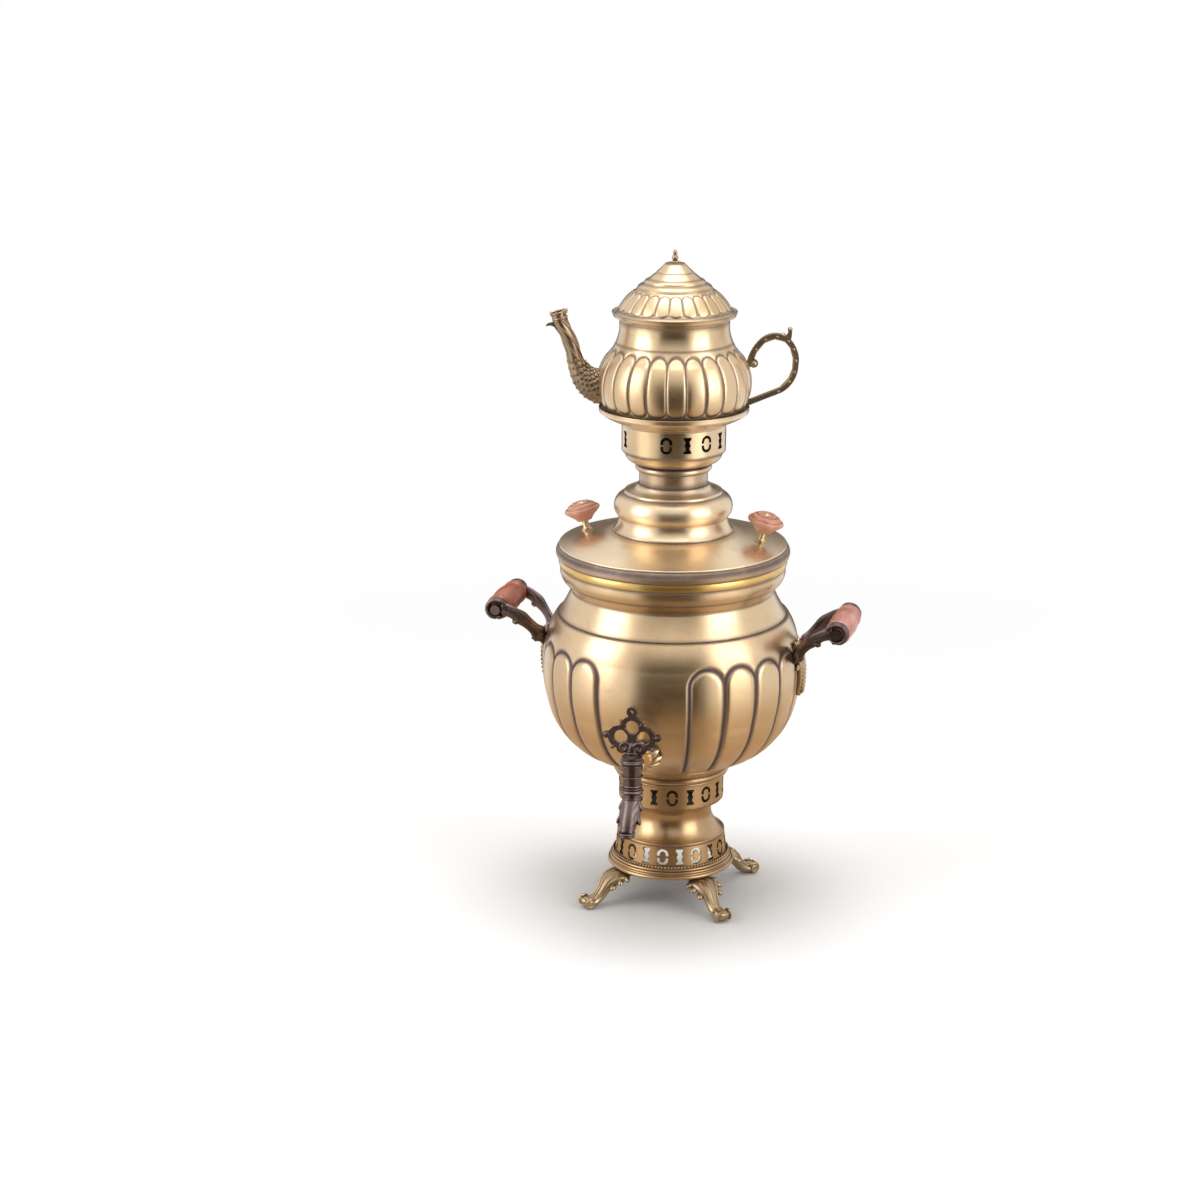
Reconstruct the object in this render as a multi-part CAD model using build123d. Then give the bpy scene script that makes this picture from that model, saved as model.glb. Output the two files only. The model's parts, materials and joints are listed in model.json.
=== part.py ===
from build123d import *
import os
from math import atan, atan2, cos, degrees, hypot, pi, radians, sin, sqrt

# Charcoal samovar with its teapot. Millimetres, +Z up, origin on the axis at the floor.
# The tap points to -Y and the two handles stand on +X and -X.

# Sheet and clearances
urn_wall = 2.0
stand_wall = 1.5
tube_wall = 2.0
lid_wall = 1.5
pot_wall = 1.4
pot_lid_wall = 1.2
lid_clearance = 1.2
tube_clearance = 0.9
plug_clearance = 0.05
pot_lid_clearance = 0.5
hole_clearance = 0.2
seat_gap = 0.1

# Pedestal, from the floor up
foot_height = 31.0
foot_reach = 95.0
foot_root_width = 26.0
foot_leg_width = 12.0
foot_toe_width = 15.0
foot_azimuths = {"rear_right": 45.0, "rear_left": 135.0, "front_left": 225.0, "front_right": 315.0}
base_radius = 57.5
base_inner_radius = 44.0
base_height = 10.5
low_gallery_radius = 51.0
low_gallery_taper = 2.0
low_gallery_height = 18.5
waist_radius = 36.6
waist_height = 36.0
high_gallery_radius = 47.6
high_gallery_height = 21.0
collar_radius = 56.0
collar_height = 14.0
floor_thickness = 2.0

# Pierced galleries: places round each one, and the size of the two motifs
low_gallery_places = 20
high_gallery_places = 18
crown_gallery_places = 14
crown_gallery_step = 23.2
low_gallery_start = 275.0
high_gallery_start = 284.7
crown_gallery_start = 275.3
ring_motif_width = 10.5
ring_motif_height = 15.0
ring_motif_stroke = 2.6
bone_motif_width = 7.0
bone_motif_height = 14.4

# Urn
belly_radius = 115.4
belly_height = 135.0
belly_middle = 86.0
shoulder_height = 21.0
neck_radius = 90.7
neck_height = 24.0
mouth_radius = 100.5
mouth_ring_height = 7.0
mouth_ring_lip = 1.4

# Chased flutes: a line round each lobe of the belly, the teapot and its lid
chased_line = 2.2
belly_lobes = 20
belly_lobe_pitch = 15.9
belly_lobe_foot = 9.0
belly_lobe_top = 113.0
belly_line_depth = 0.8
pot_lobes = 24
pot_lobe_foot = 9.0
pot_lobe_top = 68.5
pot_line_depth = 0.5
lid_lobe_foot = 5.6
lid_lobe_top = 21.4
lid_line_depth = 0.4

# Fire tube and grate
tube_foot_radius = 36.0
tube_top_radius = 28.0
tube_taper_start = 95.0
tube_taper_length = 60.0
tube_above_lid = 8.0
grate_thickness = 3.0
grate_slot = 4.0
grate_ledge = 4.0

# Handles
plate_width = 16.0
plate_thickness = 4.0
plate_top = 26.0
plate_drop = 44.0
plate_grooves_count = 4
plate_groove_start = 15.5
plate_groove_pitch = 3.4
plate_groove_width = 1.0
plate_groove_depth = 0.6
arm_thickness = 4.5
arm_width = 11.0
arm_root = 12.0
arm_root_spread = 3.5
grip_length = 58.0
grip_radius = 12.0
grip_reach = 155.0
grip_rise = 48.0
rod_radius = 3.0
rod_nut_radius = 4.5
rod_nut_height = 3.5
rivet_radius = 2.2
rivet_head_radius = 3.8
rivet_head_height = 1.8

# Tap
tap_height = 167.0
tap_reach = 145.0
flange_radius = 15.0
flange_depth = 10.0
flange_petals = 12
flange_notch_radius = 1.7
flange_notch_place = 15.4
pipe_radius = 7.0
pipe_bore = 4.0
barrel_radius = 9.0
barrel_height = 31.0
barrel_above_pipe = 10.0
barrel_floor = 2.0
plug_top_radius = 6.4
plug_bottom_radius = 5.4
plug_bore = 3.4
outlet_height = 112.0
outlet_reach = 163.0
outlet_radius = 6.0
outlet_bore = 3.4
tail_radius = 6.5
lock_nut_radius = 10.0
lock_nut_height = 5.0
washer_radius = 12.0
washer_thickness = 2.5

# Key of the tap
key_plate_thickness = 4.0
key_plate_height = 34.0
key_lobe_radius = 10.0
key_lobe_hole = 6.4
key_lobe_spread = 11.0
key_ring_radius = 4.5
key_ring_hole = 1.9
key_lift = 0.3

# Lid
lid_rim_height = 10.0
lid_rim_bulge = 3.7
lid_rise = 13.5
lid_skirt_depth = 8.0
dome_foot_radius = 53.3
dome_bulge_radius = 52.3
dome_height = 42.5
knob_place = 79.0
knob_radius = 16.0
knob_height = 17.0
knob_dimple = 1.6
stem_radius = 3.0
stem_height = 9.5
stem_foot_radius = 5.0
stem_shank_radius = 2.2
knob_nut_radius = 4.6
knob_nut_height = 3.0
knob_pin_height = 20.0

# Crown
crown_neck_height = 20.0
crown_bead = 3.5
crown_bowl_height = 12.0
crown_gallery_radius = 46.0
crown_gallery_height = 22.0
dish_radius = 66.2
dish_height = 15.0
dish_hole_radius = 24.0

# Teapot
pot_turn = 15.0
pot_foot_radius = 40.0
pot_radius = 67.3
pot_neck_radius = 48.2
pot_body_height = 81.5
pot_neck_height = 7.0
pot_ledge_height = 6.0
pot_lip_radius = 54.9
pot_lip_height = 3.0
strainer_hole_radius = 2.0
strainer_pitch = 6.0
spout_wall = 1.3
strap_thickness = 4.0
strap_width = 7.0

# Lid of the teapot
pot_lid_radius = 52.2
pot_lid_height = 45.3
pot_skirt_depth = 7.0
pot_skirt_wall = 1.4
finial_height = 11.3
finial_radius = 3.6
finial_shank_radius = 1.5
finial_nut_radius = 3.4
finial_nut_height = 2.2

# Levels that follow from the stack
base_z = foot_height
low_gallery_z = base_z + base_height
waist_z = low_gallery_z + low_gallery_height
high_gallery_z = waist_z + waist_height
collar_z = high_gallery_z + high_gallery_height
floor_z = collar_z + collar_height
belly_z = floor_z + floor_thickness
middle_z = belly_z + belly_middle
shoulder_z = belly_z + belly_height
neck_z = shoulder_z + shoulder_height
mouth_z = neck_z + neck_height
lid_z = mouth_z + mouth_ring_height
plate_z = lid_z + lid_rim_height
dome_z = plate_z + lid_rise
crown_z = dome_z + dome_height
bowl_z = crown_z + crown_neck_height
crown_gallery_z = bowl_z + crown_bowl_height
dish_z = crown_gallery_z + crown_gallery_height
pot_z = dish_z + stand_wall
pot_neck_z = pot_z + pot_body_height
pot_rim_z = pot_neck_z + pot_neck_height
pot_seat_z = pot_rim_z + pot_ledge_height
pot_lid_z = pot_seat_z + pot_lid_height

# Radii that follow from what fits into what
mouth_opening = mouth_radius - urn_wall
skirt_radius = mouth_opening - lid_clearance
tube_hole = tube_top_radius + tube_clearance
crown_neck_radius = tube_hole + stand_wall
pot_opening = pot_neck_radius - pot_wall


# Outlines


def turning_centre(a, via, b):
    """Centre of the circle through three points."""
    ax, ay, bx, by = via[0] - a[0], via[1] - a[1], b[0] - a[0], b[1] - a[1]
    cross = 2 * (ax * by - ay * bx)
    u = (by * (ax * ax + ay * ay) - ay * (bx * bx + by * by)) / cross
    v = (ax * (bx * bx + by * by) - bx * (ax * ax + ay * ay)) / cross
    return a[0] + u, a[1] + v


def legs_of(path):
    """The path's runs as (start, via, end), where via is None on a straight run."""
    legs, at = [], path[0]
    for step in path[1:]:
        via, end = step if isinstance(step[0], tuple) else (None, step)
        legs.append((at, via, end))
        at = end
    return legs


def left_of(leg, point):
    """Unit vector to the left of the run's direction at one of its points."""
    start, via, end = leg
    if via is None:
        length = hypot(end[0] - start[0], end[1] - start[1])
        return (start[1] - end[1]) / length, (end[0] - start[0]) / length
    centre = turning_centre(start, via, end)
    radius = hypot(start[0] - centre[0], start[1] - centre[1])
    bend = (via[0] - start[0]) * (end[1] - via[1]) - (via[1] - start[1]) * (end[0] - via[0])
    side = 1 if bend > 0 else -1
    return side * (centre[0] - point[0]) / radius, side * (centre[1] - point[1]) / radius


def moved(point, first, second, by):
    """The corner between two runs, moved so that both runs lie `by` to the left."""
    share = by / (1 + first[0] * second[0] + first[1] * second[1])
    return point[0] + share * (first[0] + second[0]), point[1] + share * (first[1] + second[1])


def beside(path, by):
    """The path's parallel at a distance `by` to its left."""
    legs = legs_of(path)
    first = left_of(legs[0], path[0])
    steps = [moved(path[0], first, first, by)]
    for here, after in zip(legs, legs[1:] + legs[-1:]):
        end = moved(here[2], left_of(here, here[2]), left_of(after, here[2]), by)
        if here[1] is None:
            steps.append(end)
        else:
            normal = left_of(here, here[1])
            steps.append((moved(here[1], normal, normal, by), end))
    return steps


def backwards(path):
    """The same path walked from its end to its start."""
    legs = legs_of(path)[::-1]
    return [legs[0][2]] + [start if via is None else (via, start) for start, via, end in legs]


def end_of(path):
    return legs_of(path)[-1][2]


def sheet(path, wall):
    """Closed outline of a sheet whose outer face is the path, walked with the inside on its left."""
    return path + backwards(beside(path, wall)) + [path[0]]


def strap(path, width):
    """Closed outline of a strap of even width along the path."""
    right, left = beside(path, -width / 2), beside(path, width / 2)
    return right + backwards(left) + [right[0]]


def outline_face(path):
    """Flat face inside a closed path of (x, y) steps."""
    edges = []
    for start, via, end in legs_of(path):
        edges.append(Line(start, end) if via is None else ThreePointArc(start, via, end))
    return make_face(edges)


# Solids and places


def turned(path):
    """Solid turned about the vertical axis from a closed outline of (radius, height) steps."""
    return revolve(Plane.XZ * outline_face(path), Axis.Z)


def ring(outer, inner, low, high):
    """Plain turned ring."""
    return turned([(inner, low), (outer, low), (outer, high), (inner, high), (inner, low)])


def pin(radius, low, high):
    """Plain round pin on the vertical axis."""
    return ring(radius, 0.0, low, high)


def filled(path):
    """Solid between the outer path and the axis."""
    start, end = path[0], end_of(path)
    along_axis = [(0.0, point[1]) for point in (end, start) if point[0] > 0]
    return turned([*path, *along_axis, start])


def radial_plane(azimuth, height=0.0, radius=0.0, fall=0.0):
    """Plane that faces outwards at an azimuth, tipped down by `fall` degrees; x runs round."""
    a, f = radians(azimuth), radians(fall)
    return Plane(
        origin=(radius * cos(a), radius * sin(a), height),
        x_dir=(-sin(a), cos(a), 0),
        z_dir=(cos(a) * cos(f), sin(a) * cos(f), -sin(f)),
    )


def side_plane(azimuth):
    """Upright plane through the axis at an azimuth: x runs outwards and y up."""
    a = radians(azimuth)
    return Plane(origin=(0, 0, 0), x_dir=(cos(a), sin(a), 0), z_dir=(sin(a), -cos(a), 0))


def placed(solid, plane):
    """The solid moved from the world's frame to the plane's."""
    return plane.location * solid


# Pierced galleries


def crescent(direction):
    """Half of the ring motif: a half ring with short legs, open towards the middle."""
    outer = ring_motif_width / 2
    inner = outer - ring_motif_stroke
    middle = direction * (ring_motif_height / 2 - outer)
    leg = middle - direction * ring_motif_stroke * 0.6
    return outline_face([
        (outer, leg),
        (outer, middle),
        ((0.0, middle + direction * outer), (-outer, middle)),
        (-outer, leg),
        (-inner, leg),
        (-inner, middle),
        ((0.0, middle + direction * inner), (inner, middle)),
        (inner, leg),
        (outer, leg),
    ])


def bone():
    """The upright motif: wide ends, two narrow necks and a pointed middle."""
    wide, half = bone_motif_width / 2, bone_motif_height / 2
    right = [(wide, half), (wide, 0.75 * half), (0.55 * wide, 0.5 * half), (0.55 * wide, 0.3 * half)]
    right += [(0.85 * wide, 0.0)] + [(x, -y) for x, y in right[::-1]]
    left = [(-x, y) for x, y in right[::-1]]
    return outline_face(right + left + [right[0]])


def pierced(wall, height, start, places, step):
    """The gallery wall with ring and bone motifs cut through it by turns."""
    tools = []
    for place in range(places):
        motif = [bone()] if place % 2 else [crescent(1), crescent(-1)]
        seat = radial_plane(start + place * step, height)
        tools += [extrude(seat * face, base_radius) for face in motif]
    return wall - tools


def gallery_wall(low_radius, high_radius, low, high):
    """Thin round wall, level at both ends."""
    return turned([
        (low_radius, low),
        (high_radius, high),
        (high_radius - stand_wall, high),
        (low_radius - stand_wall, low),
        (low_radius, low),
    ])


# Chased lines


def radius_at(path, height):
    """Radius of a turned face where it crosses a height."""
    for start, via, end in legs_of(path):
        if not min(start[1], end[1]) <= height <= max(start[1], end[1]) or start[1] == end[1]:
            continue
        if via is None:
            return start[0] + (end[0] - start[0]) * (height - start[1]) / (end[1] - start[1])
        centre = turning_centre(start, via, end)
        across = sqrt(hypot(start[0] - centre[0], start[1] - centre[1]) ** 2 - (height - centre[1]) ** 2)
        return centre[0] + across if via[0] > centre[0] else centre[0] - across


def chased_sides(path, depth, azimuths, low, high):
    """Upright lines as deep as `depth` below a turned face."""
    least, most = 0.6 * radius_at(path, low), 1.2 * max(radius_at(path, low), radius_at(path, high))
    strip = Pos((least + most) / 2, (low + high) / 2) * Rectangle(most - least, high - low)
    lines = [extrude(side_plane(azimuth) * strip, chased_line / 2, both=True) for azimuth in azimuths]
    return (Part() + lines) - filled(beside(path, depth))


def chased_arches(path, depth, azimuths, pitch, level, direction):
    """Half-round lines that join the sides of each lobe, open upwards or downwards."""
    radius = radius_at(path, level) * sin(radians(pitch / 2))
    arch = Circle(radius + chased_line / 2) - Circle(radius - chased_line / 2)
    arch &= Pos(0, direction * radius) * Rectangle(3 * radius, 2 * radius)
    reach = radius_at(path, level)
    arches = [extrude(radial_plane(a, level, reach / 2) * arch, reach) for a in azimuths]
    return (Part() + arches) - filled(beside(path, depth))


# Pedestal


def foot(azimuth):
    """Cast scroll foot: a leaf on the base ring's underside, bent down to a curled toe."""
    outer, inner = base_radius - 1.0, base_inner_radius + 2.0
    reach, top = foot_reach, foot_height
    profile = outline_face([
        (inner, top),
        (outer, top),
        ((outer + 9.5, top - 5.0), (outer + 15.5, top - 14.0)),
        ((reach - 15.5, 9.5), (reach - 8.0, 8.0)),
        ((reach - 3.5, 8.5), (reach - 1.0, 12.0)),
        ((reach, 5.0), (reach - 6.0, 0.0)),
        (reach - 17.0, 0.0),
        ((reach - 26.0, 4.0), (reach - 30.0, 12.0)),
        ((outer + 3.5, top - 9.0), (outer - 4.0, top - 10.0)),
        ((inner + 2.0, top - 7.0), (inner, top)),
    ])
    root, leg, toe = foot_root_width / 2, foot_leg_width / 2, foot_toe_width / 2
    leaf = [
        (inner - 1.0, root),
        ((outer + 7.0, root), (outer + 16.0, leg)),
        (reach - 14.0, leg),
        ((reach - 7.0, toe), (reach + 1.0, toe)),
    ]
    leaf += [(reach + 1.0, -toe), ((reach - 7.0, -toe), (reach - 14.0, -leg)), (outer + 16.0, -leg)]
    leaf += [((outer + 7.0, -root), (inner - 1.0, -root)), leaf[0]]
    scroll = extrude(side_plane(azimuth) * profile, root, both=True)
    plan = extrude(Rot(0, 0, azimuth) * outline_face(leaf), top + 1.0)
    eye = extrude(side_plane(azimuth) * Pos(reach - 6.5, 6.5) * Circle(4.0), toe + 0.8, both=True)
    return (scroll & plan) + eye


def base_ring():
    """Turned foot ring: a rolled edge, a cove and two stepped beads."""
    low, high, outer = base_z, low_gallery_z, base_radius
    return turned([
        (base_inner_radius, low),
        (outer - 1.6, low),
        ((outer, low + 1.8), (outer - 1.4, low + 3.6)),
        ((outer - 2.6, low + 4.2), (outer - 2.2, low + 5.4)),
        ((outer - 1.8, low + 6.4), (outer - 2.8, low + 7.2)),
        (outer - 3.8, low + 7.4),
        ((outer - 3.2, low + 8.4), (outer - 4.2, low + 9.4)),
        (low_gallery_radius, high),
        (base_inner_radius, high),
        (base_inner_radius, low),
    ])


def low_gallery():
    high_radius = low_gallery_radius - low_gallery_taper
    wall = gallery_wall(low_gallery_radius, high_radius, low_gallery_z, waist_z)
    middle, places = (low_gallery_z + waist_z) / 2, low_gallery_places
    return pierced(wall, middle, low_gallery_start, places, 360 / places)


def waist():
    """Spool between the two galleries."""
    foot_radius, top = low_gallery_radius - low_gallery_taper, high_gallery_z
    return turned(sheet([
        (foot_radius, waist_z),
        (foot_radius, waist_z + 2.2),
        ((waist_radius + 4.4, waist_z + 9.0), (waist_radius, top - 16.5)),
        ((waist_radius + 2.4, top - 7.4), (high_gallery_radius, top - 1.8)),
        (high_gallery_radius, top),
    ], stand_wall))


def high_gallery():
    wall = gallery_wall(high_gallery_radius, high_gallery_radius, high_gallery_z, collar_z)
    middle, places = (high_gallery_z + collar_z) / 2, high_gallery_places
    return pierced(wall, middle, high_gallery_start, places, 360 / places)


def collar():
    """Turned collar that carries the urn, with two fine beads."""
    low, high, inner = collar_z, floor_z, high_gallery_radius - stand_wall
    outer = high_gallery_radius + 1.4
    return turned([
        (inner, low),
        (outer, low),
        ((outer + 1.4, low + 1.3), (outer + 0.6, low + 2.6)),
        ((outer + 3.6, low + 5.4), (outer + 2.2, low + 8.2)),
        ((collar_radius - 2.6, high - 3.0), (collar_radius, high)),
        (collar_radius - 5.0, high),
        (inner, high - 6.0),
        (inner, low),
    ])


# Urn


def urn_path():
    """Outer face of the urn from the seam on its floor to its mouth."""
    return [
        (collar_radius - 4.5, belly_z),
        (collar_radius, belly_z),
        ((belly_radius - 22.0, belly_z + 21.0), (belly_radius - 4.0, belly_z + 57.0)),
        ((belly_radius, middle_z), (belly_radius - 3.0, belly_z + 112.0)),
        ((belly_radius - 6.0, belly_z + 124.0), (belly_radius - 11.4, shoulder_z - 0.8)),
        (belly_radius - 13.6, shoulder_z),
        ((belly_radius - 18.4, shoulder_z + 8.0), (neck_radius, neck_z)),
        (neck_radius, neck_z + 2.0),
        ((mouth_radius - 5.0, neck_z + 7.0), (mouth_radius, mouth_z - 8.0)),
        (mouth_radius, mouth_z),
    ]


def urn_block():
    """The urn without its hollow, for parting off what seats on its outside."""
    return filled(urn_path())


def urn_cavity(gap=0.0):
    """The hollow of the urn as a solid, or what is left of it `gap` inside the wall."""
    return filled(beside(urn_path(), urn_wall + gap))


def rivet_levels():
    """Heights of the two rivets of a handle plate."""
    top = middle_z + plate_top
    return top - 5.0, top - plate_drop + 9.0


def rivet_holes(azimuth, radius):
    """Bores for a plate's two rivets, through the plate and the wall."""
    seats = [radial_plane(azimuth, height, belly_radius - 20.0) for height in rivet_levels()]
    return [extrude(seat * Circle(radius), 50.0) for seat in seats]


def urn_shell():
    """Belly of the urn, up to the seam at its shoulder."""
    belly = turned(sheet(urn_path(), urn_wall)) & pin(2 * belly_radius, belly_z, shoulder_z)
    tail_hole = placed(pin(tail_radius + hole_clearance, -20.0, 10.0), tap_seat())
    holes = rivet_holes(0.0, rivet_radius) + rivet_holes(180.0, rivet_radius)
    return belly - [tail_hole, *holes, *belly_flutes()]


def belly_flutes():
    """Lines round the belly's lobes, which leave a plain panel over the tap."""
    pitch, plain = belly_lobe_pitch, 360.0 - belly_lobes * belly_lobe_pitch
    sides = [270.0 + plain / 2 + pitch * place for place in range(belly_lobes + 1)]
    middles = [side + pitch / 2 for side in sides[:-1]]
    top = belly_z + belly_lobe_top
    level = top - radius_at(urn_path(), top) * sin(radians(pitch / 2))
    return [
        chased_sides(urn_path(), belly_line_depth, sides, belly_z + belly_lobe_foot, level),
        chased_arches(urn_path(), belly_line_depth, middles, pitch, level, 1),
    ]


def urn_neck():
    """Shoulder, neck and mouth of the urn, soldered on the belly's edge."""
    return turned(sheet(urn_path(), urn_wall)) & pin(2 * belly_radius, shoulder_z, mouth_z)


def mouth_ring():
    """Bright half-round ring on the urn's mouth, on which the lid rests."""
    outer = mouth_radius + mouth_ring_lip
    return turned([
        (mouth_opening, mouth_z),
        (outer - 0.8, mouth_z),
        ((outer, (mouth_z + lid_z) / 2), (outer - 0.8, lid_z)),
        (mouth_opening, lid_z),
        (mouth_opening, mouth_z),
    ])


def vessel_floor():
    """Floor of the water space, open in the middle, with a ledge for the grate."""
    return ring(collar_radius, tube_foot_radius - tube_wall - grate_ledge, floor_z, belly_z)


def fire_tube():
    """Chimney from the grate up through the water space and the lid's dome."""
    return turned(sheet([
        (tube_foot_radius, belly_z),
        (tube_foot_radius, belly_z + tube_taper_start),
        (tube_top_radius, belly_z + tube_taper_start + tube_taper_length),
        (tube_top_radius, crown_z + tube_above_lid),
    ], tube_wall))


def fire_grate():
    """Slotted disc on the ledge of the floor."""
    radius = tube_foot_radius - tube_wall - hole_clearance
    slots = []
    for row in range(-3, 4):
        across = row * 2 * grate_slot
        length = 2 * sqrt((radius - 5.0) ** 2 - across**2)
        slots.append(Pos(across, 0, belly_z) * Box(grate_slot, length, 3 * grate_thickness))
    return pin(radius, belly_z, belly_z + grate_thickness) - slots


# Handles


def grip_seat(azimuth):
    """Frame at the middle of a grip: z runs along the grip and x up."""
    a = radians(azimuth)
    return Plane(
        origin=(grip_reach * cos(a), grip_reach * sin(a), middle_z + grip_rise),
        x_dir=(0, 0, 1),
        z_dir=(-sin(a), cos(a), 0),
    )


def arm_station(azimuth, side, share):
    """Section of an arm at a share of its way from the plate to the grip."""
    a, turn = radians(azimuth), radians(90 * share)
    root_reach = belly_radius - 4.0
    run = grip_reach - 4.0 - root_reach
    spread = grip_length / 2 + arm_thickness / 2 - arm_root_spread
    rise = grip_rise - arm_root
    out = root_reach + run * (1 - cos(turn))
    across = side * (arm_root_spread + spread * sin(turn))
    up = middle_z + arm_root + rise * share**2 * (3 - 2 * share)
    climb = rise * 6 * share * (1 - share) * 2 / pi
    slope = (run * sin(turn), side * spread * cos(turn), climb)
    forward = (
        slope[0] * cos(a) - slope[1] * sin(a),
        slope[0] * sin(a) + slope[1] * cos(a),
        slope[2],
    )
    plane = Plane(
        origin=(out * cos(a) - across * sin(a), out * sin(a) + across * cos(a), up),
        x_dir=(-forward[1], forward[0], 0),
        z_dir=forward,
    )
    return plane * Rectangle(arm_thickness, arm_width)


def handle_arm(azimuth, side):
    """Cast arm that spreads along the wall, rises and ends in an eye on the grip's rod."""
    arm = loft([arm_station(azimuth, side, step / 6) for step in range(7)])
    near = grip_length / 2
    eye = pin(arm_width / 2 + 1.0, near, near + arm_thickness)
    if side < 0:
        eye = Rot(180, 0, 0) * eye
    spur = placed(Cone(2.4, 0.7, 8.0), radial_plane(azimuth, middle_z + 33.0, belly_radius + 9.0, -60.0))
    across = side * 20.0
    a = radians(azimuth)
    return arm + placed(eye, grip_seat(azimuth)) + Pos(-across * sin(a), across * cos(a), 0) * spur


def plate_grooves(azimuth, low):
    """Grooves across a handle plate, which leave ribs between its rivets."""
    slot = Rectangle(plate_width, plate_groove_width)
    levels = [low + groove * plate_groove_pitch for groove in range(plate_grooves_count)]
    slots = [extrude(radial_plane(azimuth, level) * slot, 2 * belly_radius) for level in levels]
    return (Part() + slots) - filled(beside(urn_path(), plate_groove_depth - plate_thickness))


def handle_bracket(azimuth):
    """Leaf plate on the wall with its two arms, in one casting."""
    top, half = middle_z + plate_top, plate_width / 2
    low = top - plate_drop
    leaf = outline_face([
        (-half, top - 3.0),
        ((0.0, top + 2.0), (half, top - 3.0)),
        (half - 1.5, low + 7.0),
        ((0.0, low), (1.5 - half, low + 7.0)),
        (-half, top - 3.0),
    ])
    plate = extrude(radial_plane(azimuth, 0.0, belly_radius - 20.0) * leaf, 40.0)
    bracket = plate & filled(beside(urn_path(), -plate_thickness))
    bracket -= plate_grooves(azimuth, low + plate_groove_start)
    bracket += [handle_arm(azimuth, -1), handle_arm(azimuth, 1)]
    room = placed(pin(grip_radius + 1.0, -grip_length / 2, grip_length / 2), grip_seat(azimuth))
    bore = placed(pin(rod_radius + hole_clearance, -grip_length, grip_length), grip_seat(azimuth))
    return bracket - [urn_block(), room, bore, *rivet_holes(azimuth, rivet_radius)]


def grip(azimuth):
    """Turned wooden grip: a swelling spool with a groove by each end."""
    half, end = grip_length / 2, grip_radius - 2.5
    groove, bore = half - 9.0, rod_radius + hole_clearance
    spool = turned([
        (bore, -half),
        (end, -half),
        ((end + 1.6, 3.0 - half), (end + 0.4, -groove)),
        ((grip_radius, 0.0), (end + 0.4, groove)),
        ((end + 1.6, half - 3.0), (end, half)),
        (bore, half),
        (bore, -half),
    ])
    return placed(spool, grip_seat(azimuth))


def grip_rod(azimuth):
    """Rod through the grip and both arms, with a round nut on each end."""
    face = grip_length / 2 + arm_thickness
    end = face + rod_nut_height
    rod = pin(rod_radius, -end, end)
    rod += [ring(rod_nut_radius, 0.0, face, end), ring(rod_nut_radius, 0.0, -end, -face)]
    return placed(rod, grip_seat(azimuth))


def handle_rivets(azimuth):
    """The plate's two rivets, with a round head outside and a flat one inside."""
    rivets = []
    outer = belly_radius + plate_thickness - 1.0
    for height in rivet_levels():
        seat = radial_plane(azimuth, height)
        shank = pin(rivet_radius, belly_radius - 12.0, outer + rivet_head_height)
        head = ring(rivet_head_radius, 0.0, outer - 3.0, outer + rivet_head_height)
        tail = ring(rivet_head_radius, 0.0, belly_radius - 12.0, belly_radius - urn_wall)
        head = placed(head, seat) - filled(beside(urn_path(), -plate_thickness))
        tail = placed(tail, seat) & urn_cavity(seat_gap)
        rivets.append(placed(shank, seat) + head + tail)
    return rivets


# Tap


def tap_seat():
    """Frame on the urn's outer face where the tap goes in: z points straight out of the wall."""
    start, via, end = legs_of(urn_path())[1]
    centre = turning_centre(start, via, end)
    radius = hypot(start[0] - centre[0], start[1] - centre[1])
    rise = tap_height - centre[1]
    out = sqrt(radius**2 - rise**2)
    return radial_plane(270.0, tap_height, centre[0] + out, degrees(atan2(-rise, out)))


def tap_flange():
    """Domed rosette against the wall, notched between its petals and open for the pipe."""
    dome = turned([
        (0.0, -8.0),
        (flange_radius, -8.0),
        (flange_radius, 1.5),
        ((flange_radius - 3.0, flange_depth * 0.7), (pipe_radius, flange_depth)),
        (0.0, flange_depth),
        (0.0, -8.0),
    ])
    for petal in range(flange_petals):
        turn = radians(360 * (petal + 0.5) / flange_petals)
        notch = Pos(flange_notch_place * cos(turn), flange_notch_place * sin(turn), 0)
        dome -= notch * pin(flange_notch_radius, -10.0, flange_depth + 2.0)
    return placed(dome, tap_seat()) - [urn_block(), tap_pipe(pipe_radius), tap_tail(tail_radius)]


def tap_pipe(radius):
    """Level round bar from the tap's seat to the barrel's axis."""
    seat = radial_plane(270.0, tap_height, tap_seat().origin.Y * -1)
    return extrude(seat * Circle(radius), tap_reach + tap_seat().origin.Y)


def tap_tail(radius, extra=0.0):
    """Round bar from the tap's seat straight through the wall and its nut."""
    length = urn_wall + 1.5 + washer_thickness + lock_nut_height + 3.0 + extra
    return placed(pin(radius, -length, 0.0), tap_seat())


def barrel_top():
    return tap_height + barrel_above_pipe


def barrel_low():
    return barrel_top() - barrel_height


def spout_bar(root_radius, end_radius, root_height, past=0.0):
    """Bent round bar from under the barrel to the outlet, or `past` it."""
    drop, forward = barrel_low() - outlet_height, outlet_reach - tap_reach
    stations = [
        (0.0, root_height, 0.0, 1.0),
        (0.0, 0.0, 0.0, 1.0),
        (forward * 0.25, -drop * 0.36, 25.0, 1.04),
        (forward * 0.68, -drop * 0.68, 22.0, 0.6),
        (forward, -drop - past, 0.0, 0.0),
    ]
    sections = []
    for out, up, lean, share in stations:
        plane = Plane(
            origin=(0, -tap_reach - out, barrel_low() + up),
            x_dir=(1, 0, 0),
            z_dir=(0, -sin(radians(lean)), -cos(radians(lean))),
        )
        sections.append(plane * Circle(end_radius + share * (root_radius - end_radius)))
    return loft(sections)


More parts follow.
